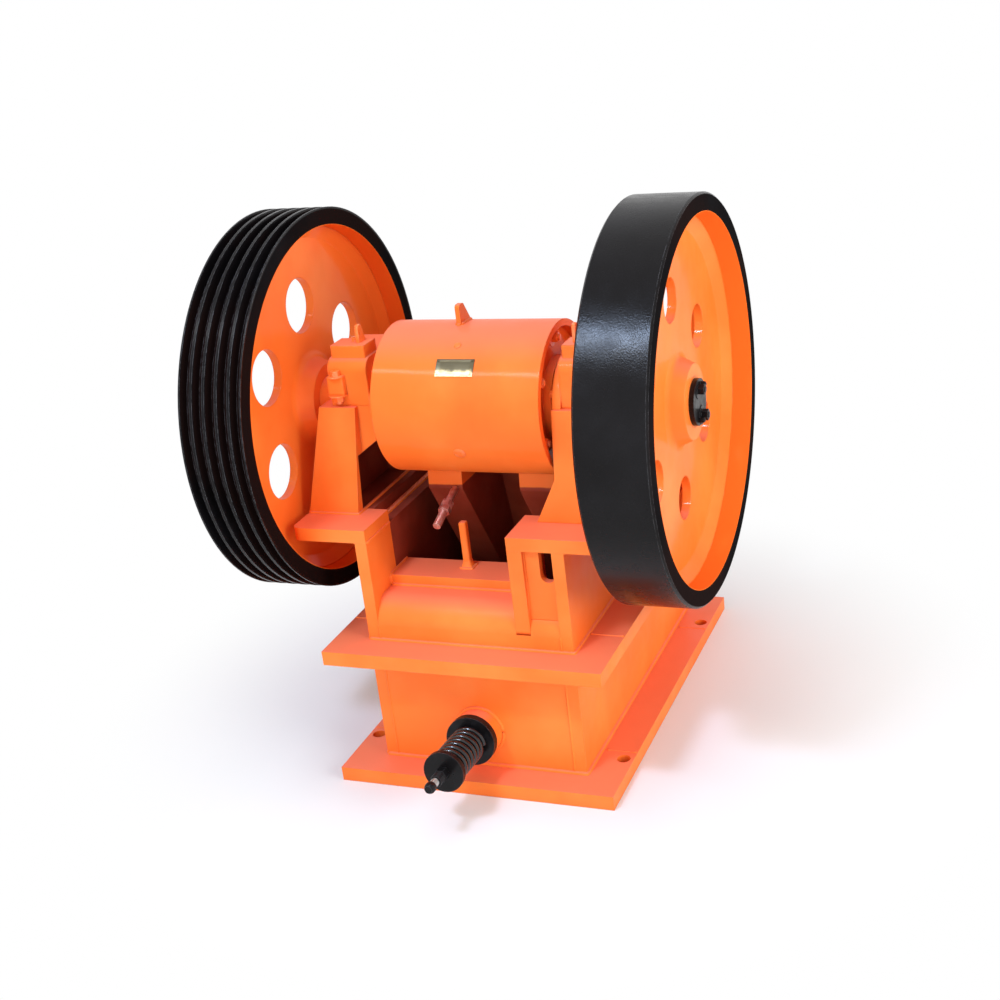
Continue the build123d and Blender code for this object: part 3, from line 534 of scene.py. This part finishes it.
class Piece:
    """Collects closed shells, and makes one object of them."""

    def __init__(self, name):
        self.name = name
        self.vertices = []
        self.faces = []

    def shell(self, rings, place=Matrix.Identity(4)):
        """Closed skin through rings of as many points each, with both ends capped."""
        start = len(self.vertices)
        count = len(rings[0])
        for ring in rings:
            self.vertices += [place @ Vector(point) for point in ring]
        for row in range(len(rings) - 1):
            low = start + row * count
            for index in range(count):
                after = (index + 1) % count
                self.faces.append((low + index, low + after, low + count + after, low + count + index))
        last = start + (len(rings) - 1) * count
        self.faces.append(tuple(start + index for index in reversed(range(count))))
        self.faces.append(tuple(last + index for index in range(count)))

    def lathe(self, place, profile, segments=32):
        """Profile of (radius, height) turned about the place's Z axis."""
        rings = []
        for radius, height in profile:
            turns = [math.tau * index / segments for index in range(segments)]
            rings.append([polar(radius, turn, height) for turn in turns])
        self.shell(rings, place)

    def hexagon(self, place, across, low, high, bevel_both=False):
        """Hexagon head or nut with its chamfered corners."""
        count = 48
        chamfer = math.tan(math.radians(30))
        sixth = math.pi / 3
        half = across / 2
        flat_reach = half * 0.97
        turns = [math.tau * index / count for index in range(count)]
        reach = [half / math.cos((turn + sixth / 2) % sixth - sixth / 2) for turn in turns]
        rise = [(far - half) * chamfer for far in reach]

        def ring(height, sign):
            return [polar(far, turn, height - sign * up) for turn, far, up in zip(turns, reach, rise)]

        def flat(height):
            return [polar(flat_reach, turn, height) for turn in turns]

        rings = [flat(low), ring(low, -1)] if bevel_both else [ring(low, 0)]
        rings += [ring(high, 1), flat(high)]
        self.shell(rings, place)

    def bolt(self, place, across, stud=0.0):
        """Washer and hexagon, with the end of a stud where there is one."""
        washer = across * 0.10
        head = across * 0.62
        radius = across * 0.98
        rounding = washer * 0.3
        stud_radius = across * 0.30
        pitch = across * 0.07
        top = washer + head
        self.lathe(place, [(radius, -skin), (radius, washer - rounding), (radius - rounding, washer)])
        self.hexagon(place, across, washer * 0.9, top, stud > 0)
        if stud > 0:
            self.thread(place, stud_radius, top, top + stud, pitch)

    def thread(self, place, radius, low, high, pitch):
        """Rod with a helical thread, from low to high along the place's Z axis."""
        segments = 24
        rows_a_turn = 6
        tip_shrink = pitch * 0.8
        crest_height = pitch * 0.30
        rows = max(int((high - low) / pitch * rows_a_turn), rows_a_turn)
        rings = []
        for row in range(rows + 1):
            height = low + (high - low) * row / rows
            shrink = tip_shrink if row == rows else 0.0
            ring = []
            for index in range(segments):
                turn = math.tau * index / segments
                phase = (height / pitch - index / segments) % 1.0
                crest = radius + crest_height * (1 - abs(2 * phase - 1)) - shrink
                ring.append(polar(crest, turn, height))
            rings.append(ring)
        self.shell(rings, place)

    def bead(self, points, size, flare=1.0):
        """Weld bead along a line of points: overlapping ripples and rounded ends."""
        sides = 8
        step = size * 0.55
        ripple_length = size * 1.3
        ripple_depth = 0.09
        unevenness = 0.035
        flare_length = size * 4
        end_share = 0.15
        spots = spread_along(points, step)
        total = sum((b - a).length for a, b in zip(spots, spots[1:]))
        side = first_side(spots[1] - spots[0])
        rings = []
        gone = 0.0
        for index, spot in enumerate(spots):
            ahead = spots[min(index + 1, len(spots) - 1)]
            behind = spots[max(index - 1, 0)]
            along = (ahead - behind).normalized()
            side = (side - along * side.dot(along)).normalized()
            up = along.cross(side)
            gone += (spot - behind).length
            near = min(gone, total - gone)
            end = math.sqrt(min(max(near, 0.0) / size, 1.0)) * (1 - end_share) + end_share
            wide = 1.0 + (flare - 1.0) * max(1.0 - near / flare_length, 0.0)
            ripple = 1.0 + ripple_depth * abs(math.sin(math.pi * gone / ripple_length))
            ripple += random.uniform(-unevenness, unevenness)
            reach = size * end * wide * ripple
            turns = [math.tau * corner / sides for corner in range(sides)]
            rings.append([spot + (side * math.cos(t) + up * math.sin(t)) * reach for t in turns])
        self.shell(rings)

    def make(self, material, body="frame"):
        """One object of the shells, riding on the body."""
        sharp_deg = 38
        mesh = bpy.data.meshes.new(self.name)
        mesh.from_pydata([tuple(v) for v in self.vertices], [], self.faces)
        mesh.update()
        mesh.polygons.foreach_set("use_smooth", [True] * len(mesh.polygons))
        mesh.set_sharp_from_angle(angle=math.radians(sharp_deg))
        made = bpy.data.objects.new(self.name, mesh)
        bpy.context.scene.collection.objects.link(made)
        mesh.materials.append(material)
        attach(made, body)


def polar(reach, turn, height=0.0):
    """Point at that reach, turn and height about the Z axis."""
    return Vector((reach * math.cos(turn), reach * math.sin(turn), height))


def spread_along(points, step):
    """The same line with a point at each step."""
    spots = [points[0]]
    for a, b in zip(points, points[1:]):
        count = max(int((b - a).length / step), 1)
        spots += [a.lerp(b, index / count) for index in range(1, count + 1)]
    return spots


def first_side(along):
    """A direction square to the line, to start turning round it."""
    axis = min((X, Y, Z), key=lambda candidate: abs(candidate.dot(along)))
    return axis.cross(along).normalized()


def facing(point, direction, turn_deg=0.0):
    """Place at a point, with Z along the direction."""
    turned = Vector(direction).to_track_quat("Z", "Y").to_matrix().to_4x4()
    return Matrix.Translation(point) @ turned @ Matrix.Rotation(math.radians(turn_deg), 4, "Z")


def circle(centre, axis, radius, count=48):
    """Closed line round a circle about an axis."""
    place = facing(centre, axis)
    turns = [math.tau * index / count for index in range(count + 1)]
    return [place @ polar(radius, turn) for turn in turns]


def rectangle(x0, x1, y0, y1, z):
    """Closed line round a level rectangle."""
    corners = ((x0, y0), (x1, y0), (x1, y1), (x0, y1), (x0, y0))
    return [Vector((x, y, z)) for x, y in corners]


def about(line, x, radius, deg):
    """Point round a line along X, its angle counted from the rear side upwards."""
    turn = math.radians(deg)
    return Vector((x, line.y - radius * math.cos(turn), line.z + radius * math.sin(turn)))


def on_drum(x, deg, lift=0.0):
    """Point on the drum, or lifted off it."""
    return about(drum, x, drum_radius + lift, deg)


def outward(deg):
    """Direction away from a line along X at that angle."""
    turn = math.radians(deg)
    return Vector((0, -math.cos(turn), math.sin(turn)))


# Weld beads; the sizes are their radii
bead_wide = 0.0036
bead_plain = 0.0030
bead_small = 0.0026
bead_thin = 0.0020


def run(x, y, z):
    """Both ends of a straight line; the coordinate that changes is given as a pair."""
    pairs = [value if isinstance(value, tuple) else (value, value) for value in (x, y, z)]
    return [Vector(end) for end in zip(*pairs)]


def walls_outline(z):
    """Closed line round the outside of the frame's walls."""
    return rectangle(-body_x, body_x, rear_y, feed_y, z)


def strip_seams(piece, seams_y, z, wall_gap, size, flare):
    """Seams across the strips that stand out beside the side walls."""
    edge_gap = 0.001
    for side in (-1, 1):
        for y in seams_y:
            ends = (side * (body_x + wall_gap), side * (base_x - edge_gap))
            piece.bead(run(ends, y, z), size, flare)


def base_welds(paint):
    """Bead round the walls' foot, and the seams in the base plate's side strips."""
    piece = Piece("base_welds")
    seam_sink = 0.0012
    seam_skew = 0.002
    seam_y = base_low.y + 0.133
    piece.bead(walls_outline(base_top), size=0.0042)
    seams_y = (seam_y, -seam_y - seam_skew)
    strip_seams(piece, seams_y, base_top - seam_sink, wall_gap=0.008, size=0.0022, flare=1.5)
    piece.make(paint)


def belt_welds(paint):
    """Beads above and below the flange belt, and the seams between its strips."""
    piece = Piece("belt_welds")
    seam_sink = 0.0006
    for z in (belt_low, belt_top):
        piece.bead(walls_outline(z), bead_wide)
    seams_y = (belt_seam_y, feed_y)
    strip_seams(piece, seams_y, belt_top - seam_sink, wall_gap=0.003, size=bead_thin, flare=1.4)
    piece.make(paint)


def corner_welds(paint):
    """Upright seams between the rear wall and the side walls' edges."""
    piece = Piece("corner_welds")
    sink = 0.0008
    shoulder_z = ledge_low.z - 0.042
    for side in (-1, 1):
        for ends in ((base_top, belt_low), (belt_top, shoulder_z)):
            piece.bead(run(side * inner_x, rear_y + sink, ends), bead_thin)
    piece.make(paint)


def seat_welds(paint):
    """Beads under the seat plates and round the pedestals' feet."""
    piece = Piece("seat_welds")
    wall_gap = 0.005
    foot_x = body_x + 0.020
    inside_y = rear_y + 0.002
    low, high = pedestal_low, pedestal_high
    for side in (-1, 1):
        piece.bead(run(side * body_x, (rear_y, seat_far_y), seat_low), size=0.0038)
        piece.bead(run(side * (body_x + wall_gap), (seat_step_y, seat_far_y), seat_low), bead_plain)
        piece.bead(rectangle(side * -low.x, side * foot_x, low.y, high.y, seat_top), bead_plain)
    piece.bead(run(-inner_x, (inside_y, seat_step_y), seat_low), bead_small)
    piece.make(paint)


def ledge_welds(paint):
    """Beads round the ledge plate, against the rear wall and the side walls."""
    piece = Piece("ledge_welds")
    low, high = ledge_low, ledge_high
    piece.bead(run((low.x, high.x), low.y, low.z), size=0.0034)
    for x in (low.x, high.x):
        piece.bead(run(x, low.y, (low.z, high.z)), size=0.0028)
        piece.bead(run(x, (low.y, high.y), high.z), bead_small)
    piece.make(paint)


def gusset_welds(paint):
    """Seams of the upright gusset and of the slotted panel beside it."""
    piece = Piece("gusset_welds")
    foot_y = rear_y + 0.045
    head_y = rear_y + 0.003
    panel_y = rear_y + 0.008
    far_y = gusset_high.y
    for x in (gusset_low.x, gusset_far_x):
        piece.bead(run(x, (foot_y, far_y), ledge_low.z), bead_plain)
        piece.bead(run(x, (head_y, far_y), seat_low), bead_small)
    piece.bead(run(gusset_far_x, panel_y, (ledge_low.z, seat_low)), bead_thin)
    piece.make(paint)


def lug_collar(piece):
    """Flared collar of weld round the bar's foot, following the bar's corners."""
    levels = 7
    corners = 40
    height = 0.012
    flare = 0.0048
    flare_power = 1.6
    gap = 0.0008
    round_share = 0.35
    widest = 1.25
    unevenness = 0.0003
    centre = (lug_low + lug_high) / 2
    half = (lug_high.x - lug_low.x) / 2
    rings = []
    for level in range(levels):
        share = level / (levels - 1)
        reach = half + gap + flare * (1 - share) ** flare_power
        z = lug_low.z - skin + height * share
        ring = []
        for index in range(corners):
            turn = math.tau * index / corners
            square = 1 / max(abs(math.cos(turn)), abs(math.sin(turn)))
            out = reach * (round_share + (1 - round_share) * min(square, widest))
            out += random.uniform(-unevenness, unevenness)
            ring.append((centre.x + out * math.cos(turn), centre.y + out * math.sin(turn), z))
        rings.append(ring)
    piece.shell(rings)


def lug_welds(paint):
    """Collar and bead at the foot of the square bar on the ledge."""
    piece = Piece("lug_welds")
    foot_out = 0.004
    x_ends = (lug_low.x - foot_out, lug_high.x + foot_out)
    y_ends = (lug_low.y - foot_out, lug_high.y + foot_out)
    lug_collar(piece)
    piece.bead(rectangle(*x_ends, *y_ends, lug_low.z), bead_small)
    piece.make(paint)


def boss_weld(paint):
    """Ring of weld where the rod's boss meets the rear wall."""
    piece = Piece("boss_weld")
    gap = 0.0006
    radius = (boss_high.x - boss_low.x) / 2
    centre = seat_disc_middle + rod_out * ((rear_y - seat_disc_middle.y) / rod_out.y)
    piece.bead(circle(centre, -Y, radius + gap), bead_wide)
    piece.make(paint)


def eye_welds(paint):
    """Seams along both sides of the drum's upright plate and round its ends."""
    piece = Piece("eye_welds")
    steps = 12
    ends_y = (eye_low.y, eye_high.y)
    near_deg, far_deg = [math.degrees(math.acos((drum.y - y) / drum_radius)) for y in ends_y]
    degs = [near_deg + (far_deg - near_deg) * index / steps for index in range(steps + 1)]
    for x in (eye_low.x, eye_high.x):
        piece.bead([on_drum(x, deg) for deg in degs], bead_plain, flare=1.2)
    for deg in (near_deg, far_deg):
        piece.bead([on_drum(x, deg) for x in (eye_low.x, eye_high.x)], size=0.0032)
    piece.make(paint, "swing_jaw")


def feed_welds(paint):
    """Seams of the feed end: wall, ribs and side walls."""
    piece = Piece("feed_welds")
    rib_x = 0.082
    rib_half = 0.009
    heights = (base_top, wall_top - 0.002)
    for x in (-inner_x, inner_x):
        piece.bead(run(x, feed_wall_back, heights), bead_wide)
    for side in (-1, 1):
        for edge in (-1, 1):
            piece.bead(run(side * rib_x + edge * rib_half, feed_wall_back, heights), bead_plain)
    piece.bead(run((-inner_x, inner_x), feed_wall_back, base_top), bead_wide)
    piece.make(paint)


# Small fasteners and fittings

def cap_bolts(paint):
    """Clamp bolts through the caps' ears: head above, nut below."""
    piece = Piece("cap_bolts")
    bolt_out = 0.0045
    lean_deg = 12
    head_turn_deg = 7
    ear_x = -cap_low.x - ear_set_in - ear_width / 2
    ear_low = pedestal_high.z + ear_rise
    for side in (-1, 1):
        for way in (-1, 1):
            face_y = shaft.y + way * ((cap_high.y - cap_low.y) / 2 - ear_reach)
            spot = Vector((side * ear_x, face_y + way * bolt_out, ear_low + ear_thick))
            piece.bolt(facing(spot, Z, lean_deg * way + head_turn_deg), across=0.013)
            piece.bolt(facing(spot - Z * ear_thick, -Z, lean_deg * way), across=0.0155, stud=0.004)
    piece.make(paint)


def pad_plugs(paint):
    """Small hexagon plug on each cap's raised pad."""
    piece = Piece("pad_plugs")
    x = 0.192
    y = cap_low.y + ear_reach + pad_near + 0.026
    turn_deg = 11
    collar = [(0.0052, -skin), (0.0052, 0.0010), (0.0047, 0.0014)]
    for side in (-1, 1):
        place = facing(Vector((side * x, y, cap_high.z)), Z, turn_deg)
        piece.lathe(place, collar, segments=24)
        piece.hexagon(place, across=0.0082, low=0.0012, high=0.0056)
    piece.make(paint)


def cap_fins(paint):
    """Thin upright fin on each cap's raised pad."""
    piece = Piece("cap_fins")
    fin_x = 0.181
    half_thick = 0.0030
    flat_half = half_thick * 0.7
    rounding = 0.0006
    height = 0.029
    depth = 0.022
    sink = 0.001
    near = cap_low.y + ear_reach + pad_near + 0.014
    outline = [(0.0, -sink), (0.0, height - 0.006), (0.003, height - 0.001), (0.009, height)]
    outline += [(0.014, height - 0.003), (depth, 0.004), (depth, -sink)]
    slices = ((-half_thick, rounding), (-flat_half, 0.0), (flat_half, 0.0), (half_thick, rounding))
    for side in (-1, 1):
        rings = []
        for x, inset in slices:
            ring = []
            for y, z in outline:
                toward = inset if y < depth / 2 else -inset
                ring.append((side * fin_x + x, near + y + toward, cap_high.z + z - inset))
            rings.append(ring)
        piece.shell(rings)
    piece.make(paint)


def cover_bolts(paint):
    """Screws round the bearings' inner covers."""
    piece = Piece("cover_bolts")
    radius = (cover_high.z - cover_low.z) / 2 - 0.009
    count = 6
    first_deg = 26
    turn_deg = 17
    for side in (-1, 1):
        for index in range(count):
            spot = about(shaft, side * -cover_high.x, radius, first_deg + 360 / count * index)
            place = facing(spot, side * -X, turn_deg * index)
            piece.hexagon(place, across=0.0115, low=-skin, high=0.0052)
    piece.make(paint)


def drum_end_bolts(paint):
    """Studs and nuts of the eccentric bearing's covers, in the drum's end recesses."""
    piece = Piece("drum_end_bolts")
    floor_x = drum_end_x - 0.014
    radius = 0.096
    count = 6
    first_deg = 31
    turn_deg = 25
    for side in (-1, 1):
        for index in range(count):
            spot = about(drum, side * floor_x, radius, first_deg + 360 / count * index)
            piece.bolt(facing(spot, side * X, turn_deg * index), across=0.0150, stud=0.003)
    piece.make(paint, "swing_jaw")


def hub_bolts(black):
    """Two bolts of each shaft-end lock plate, with a tab bent up beside each."""
    piece = Piece("hub_bolts")
    radius = 0.0225
    first_deg = 76
    turn_deg = 31
    start_deg = 8
    tab_aside = 0.0150
    tab_profile = [(0.0042, 0.0), (0.0044, 0.0060), (0.0036, 0.0086), (0.0018, 0.0096)]
    for side in (-1, 1):
        for index in range(2):
            away = outward(first_deg + 180 * index)
            spot = Vector((side * (lock_plate_x - skin), shaft.y, shaft.z)) + away * radius
            place = facing(spot, side * X, turn_deg * index + start_deg)
            piece.bolt(place, across=0.0155, stud=0.0014)
            tab = facing(spot + away.cross(X) * tab_aside, side * X)
            piece.lathe(tab, tab_profile, segments=14)
    piece.make(black, "rotor")


def stitch(piece, columns, rows):
    """Faces of a closed sheet, from its top points and then its bottom ones."""
    wide = columns + 1
    count = wide * (rows + 1)
    for row in range(rows):
        for column in range(columns):
            a = row * wide + column
            piece.faces.append((a, a + 1, a + wide + 1, a + wide))
            piece.faces.append((count + a, count + a + wide, count + a + wide + 1, count + a + 1))
    edge = list(range(wide))
    edge += [row * wide + columns for row in range(1, rows + 1)]
    edge += [rows * wide + column for column in range(columns - 1, -1, -1)]
    edge += [row * wide for row in range(rows - 1, 0, -1)]
    for a, b in zip(edge, edge[1:] + edge[:1]):
        piece.faces.append((a, count + a, count + b, b))


def plate_sheet(piece):
    """Sheet curved to the drum, with a raised border."""
    columns = 24
    rows = 16
    border_lift = 0.0016
    field_lift = 0.0012
    sink = 0.0004
    bottom = []
    for row in range(rows + 1):
        deg = plate_low_deg + (plate_high_deg - plate_low_deg) * row / rows
        for column in range(columns + 1):
            x = -plate_half_x + 2 * plate_half_x * column / columns
            border = row in (0, 1, rows - 1, rows) or column in (0, 1, columns - 1, columns)
            piece.vertices.append(on_drum(x, deg, border_lift if border else field_lift))
            bottom.append(on_drum(x, deg, -sink))
    piece.vertices += bottom
    stitch(piece, columns, rows)


def nameplate(brass):
    """Bare plate on the drum, with a rivet in each corner."""
    piece = Piece("bare_nameplate")
    rivet_x = plate_half_x - 0.0035
    rivet_in_deg = 1.6
    rivet_lift = 0.0011
    rivet = [(0.0014, 0.0), (0.0013, 0.0006), (0.0009, 0.0011), (0.0003, 0.0013)]
    plate_sheet(piece)
    for x in (-rivet_x, rivet_x):
        for deg in (plate_low_deg + rivet_in_deg, plate_high_deg - rivet_in_deg):
            piece.lathe(facing(on_drum(x, deg, rivet_lift), outward(deg)), rivet, segments=16)
    piece.make(brass, "swing_jaw")


def drum_plugs(paint):
    """Grease plug under the drum's front and the small filler screw near its crown."""
    piece = Piece("drum_plugs")
    x = -0.004
    sink = 0.001
    for deg, size in ((-28.0, 0.010), (58.2, 0.006)):
        place = facing(on_drum(x, deg, -sink), outward(deg))
        dome = [(size, 0.0), (size, 0.0014), (size * 0.90, 0.0022), (size * 0.5, 0.0026)]
        piece.lathe(place, dome, segments=28)
    piece.make(paint, "swing_jaw")


def jaw_bolt_thread(steel):
    """Thread and lock nut on the free end of the jaw plate's clamp bolt."""
    piece = Piece("jaw_bolt_thread")
    back_from_tip = 0.042
    proud = 0.0001
    low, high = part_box("jaw_bolt")
    along = Vector((0, -math.cos(jaw_bolt_dip), -math.sin(jaw_bolt_dip)))
    tip_y = low.y + jaw_bolt_radius * math.sin(jaw_bolt_dip)
    tip_z = low.z + jaw_bolt_radius * math.cos(jaw_bolt_dip)
    tip = Vector(((low.x + high.x) / 2, tip_y, tip_z))
    place = facing(tip - along * back_from_tip, along)
    piece.thread(place, jaw_bolt_radius + proud, low=0.0, high=0.0424, pitch=0.0018)
    piece.hexagon(place, across=0.0175, low=-0.002, high=0.0085, bevel_both=True)
    piece.make(steel, "swing_jaw")


def rod_thread(steel):
    """Bright threaded end of the tension rod."""
    piece = Piece("rod_thread")
    beyond_nut = 0.0220
    place = facing(rod_nut_middle + rod_out * beyond_nut, rod_out)
    piece.thread(place, radius=0.0061, low=0.0, high=0.021, pitch=0.00175)
    piece.make(steel, "frame")


def rod_nuts(black):
    """Long blackened nut behind the bright thread, and the domed nut on the rod's end."""
    piece = Piece("rod_nuts")
    turn_deg = 14
    long_out = 0.0065
    dome_out = 0.0365
    dome = [(0.0074, 0.0), (0.0088, 0.0015), (0.0088, 0.0080), (0.0078, 0.0110), (0.0050, 0.0134)]
    place = facing(rod_nut_middle + rod_out * long_out, rod_out, turn_deg)
    piece.thread(place, radius=0.0088, low=0.0, high=0.0170, pitch=0.0030)
    tip = facing(rod_nut_middle + rod_out * dome_out, rod_out, turn_deg)
    piece.lathe(tip, dome, segments=28)
    piece.make(black, "frame")


def feed_bolts(paint):
    """Clamp bolts of the fixed jaw plate, on the feed wall."""
    piece = Piece("feed_bolts")
    half_spread = 0.042
    lower_z = plate_low.z + 0.12
    upper_z = plate_high.z - 0.10
    turn_deg = 9
    for x in (-half_spread, half_spread):
        for z in (lower_z, upper_z):
            place = facing(Vector((x, feed_wall_back, z)), Y, turn_deg)
            piece.bolt(place, across=0.027, stud=0.010)
    piece.make(paint)


# Dress the frame

def dress_nodes():
    """A finished material on every CAD node; returns those that added pieces share."""
    plain = orange_enamel("orange_enamel")
    black = oiled_black()
    bolt = primed_bolt()
    finishes = {
        "rear_wall": orange_enamel("orange_rear_wall", rear_wall_primer),
        "feed_wall": orange_enamel("orange_feed_wall", feed_primer),
        "jaw_body": orange_enamel("jaw_casting_coat", jaw_primer, radius=0.003),
        "sheave_rim": black_enamel("black_sheave", radius=0.0010),
        "flywheel_rim": black_enamel("black_flywheel"),
        "tension_spring": spring_steel(),
        "jaw_bolt": bolt,
        "eccentric_shaft": orange_enamel("sprayed_shaft"),
    }
    casting = orange_enamel("orange_casting", radius=0.003, gloss=1.0)
    pedestals = orange_enamel("orange_pedestals", pocket_primer, radius=0.0025, gloss=0.4)
    shared = {
        orange_enamel("orange_walls", wall_primer): ("left_side_wall", "right_side_wall"),
        orange_enamel("orange_seats", seat_primer): ("left_seat_plate", "right_seat_plate"),
        pedestals: ("left_pedestal", "right_pedestal"),
        casting: ("jaw_drum", "sheave_web", "flywheel_web", "rod_boss", "drum_lifting_eye",
                  "frame_lifting_lug", "left_end_cover", "right_end_cover"),
        orange_enamel("orange_caps", radius=0.0055, gloss=0.8): ("left_bearing_cap", "right_bearing_cap"),
        manganese_steel(): ("fixed_jaw_plate", "movable_jaw_plate", "left_side_liner", "right_side_liner"),
        black: ("spring_seat", "spring_end_disc", "rod_nut", "tension_rod", "sheave_lock_plate",
                "flywheel_lock_plate"),
        dark_primer(): ("toggle_beam", "toggle_plate"),
    }
    for material, names in shared.items():
        for name in names:
            finishes[name] = material
    for name, node in nodes.items():
        for slot in node.material_slots:
            slot.material = finishes.get(name, plain)
    return plain, black, bolt


def add_pieces(plain, black, primed):
    """Every weld, fastener and fitting that the CAD nodes don't have."""
    painted = painted_bolt()
    for weld in (base_welds, belt_welds, corner_welds, seat_welds, ledge_welds, gusset_welds, lug_welds,
                 boss_weld, eye_welds, feed_welds):
        weld(plain)
    for fastener in (cap_bolts, pad_plugs, cap_fins, cover_bolts, drum_end_bolts, drum_plugs, feed_bolts):
        fastener(painted)
    hub_bolts(black)
    nameplate(brass_plate())
    jaw_bolt_thread(primed)
    rod_thread(bright_steel())
    rod_nuts(black)


# Camera, stage and light

def make_camera():
    """Camera where the photograph's perspective puts it."""
    spot = (0.9664, -2.2940, 1.3436)
    yaw = math.radians(23.89)
    pitch = math.radians(21.38)
    roll = math.radians(-7.02)
    focal_pixels = 1567.8
    photo_pixels = 1000
    upright = Matrix.Rotation(yaw, 4, "Z") @ Matrix.Rotation(math.pi / 2 - pitch, 4, "X")
    data = bpy.data.cameras.new("camera")
    data.sensor_width = 36.0
    data.lens = focal_pixels / photo_pixels * data.sensor_width
    data.clip_start = 0.05
    data.clip_end = 60.0
    camera = bpy.data.objects.new("camera", data)
    bpy.context.scene.collection.objects.link(camera)
    camera.matrix_world = Matrix.Translation(spot) @ upright @ Matrix.Rotation(roll, 4, "Z")
    bpy.context.scene.camera = camera


def floor_material():
    """Pale floor near the object; further off it shows as white."""
    pale_to = 0.32
    white_from = 0.85
    roughness = 0.8
    shade = Shade("pale_floor", specular=0.1)
    tint = shade.mix(shade.noise(3.0), FLOOR_GREY, FLOOR_PALE)
    shade.finish(tint, roughness, shade.bump(shade.noise(200, 2.0), 0.0001))
    away = shade.steps(shade.distance(shade.x, shade.y), pale_to, white_from)
    white = shade.add("ShaderNodeEmission").outputs[0]
    blend = shade.blend(shade.times(away, shade.looked_at()), shade.shader.outputs[0], white)
    shade.feed(shade.tree.nodes["Material Output"].inputs["Surface"], blend)
    return shade.material


def make_floor():
    """Wide floor, just under the object."""
    reach = 25.0
    drop = 0.0004
    mesh = bpy.data.meshes.new("floor")
    corners = [(-reach, -reach, 0), (reach, -reach, 0), (reach, reach, 0), (-reach, reach, 0)]
    mesh.from_pydata(corners, [], [(0, 1, 2, 3)])
    mesh.materials.append(floor_material())
    floor = bpy.data.objects.new("floor", mesh)
    floor.location.z = -drop
    bpy.context.scene.collection.objects.link(floor)


def make_world(level):
    """Soft grey light, seen as white."""
    world = bpy.data.worlds.new("studio")
    world.use_nodes = True
    bpy.context.scene.world = world
    world.node_tree.nodes.clear()
    tree = Tree(world.node_tree)
    lights = []
    for colour, strength in ((WORLD_LIGHT, level), (WHITE, 1.0)):
        light = tree.add("ShaderNodeBackground")
        light.inputs["Color"].default_value = (*colour, 1.0)
        light.inputs["Strength"].default_value = strength
        lights.append(light.outputs[0])
    out = tree.add("ShaderNodeOutputWorld")
    tree.feed(out.inputs[0], tree.blend(tree.looked_at(), *lights))


def area_light(name, spot, target, size, power, colour=WHITE, mirrored=False):
    """Soft lamp; its own image shows in the gloss only where mirrored is set."""
    data = bpy.data.lights.new(name, "AREA")
    data.shape = "RECTANGLE"
    data.size, data.size_y = size
    data.energy = power
    data.color = colour
    lamp = bpy.data.objects.new(name, data)
    lamp.location = spot
    lamp.rotation_euler = (Vector(spot) - Vector(target)).to_track_quat("Z", "Y").to_euler()
    lamp.visible_glossy = mirrored
    bpy.context.scene.collection.objects.link(lamp)


def make_lights():
    """Soft world light, three wide lamps, and two that show in the gloss."""
    world_level = 0.40
    heart = (0, -0.05, 0.40)
    drum_middle = (0, drum.y, drum.z)
    fly_rim = (0.31, -0.38, 0.77)
    make_world(world_level)
    area_light("key", (0.1, -3.7, 1.25), heart, size=(2.4, 1.8), power=40, colour=(1.0, 0.99, 0.92))
    area_light("fill", (3.2, -1.2, 1.4), heart, size=(2.0, 2.0), power=100)
    area_light("top", (0.0, 0.2, 3.4), heart, size=(2.4, 2.0), power=34, colour=(1.0, 0.96, 1.0))
    area_light("strip", (-0.86, -1.73, 2.52), drum_middle, size=(1.9, 0.16), power=15,
               colour=(0.96, 0.98, 1.0), mirrored=True)
    area_light("rim_lamp", (-0.45, -1.80, 2.67), fly_rim, size=(0.42, 0.26), power=34,
               colour=(0.66, 0.84, 1.18), mirrored=True)


make_camera()
add_pieces(*dress_nodes())
make_floor()
make_lights()
bpy.context.scene.view_settings.view_transform = "Standard"
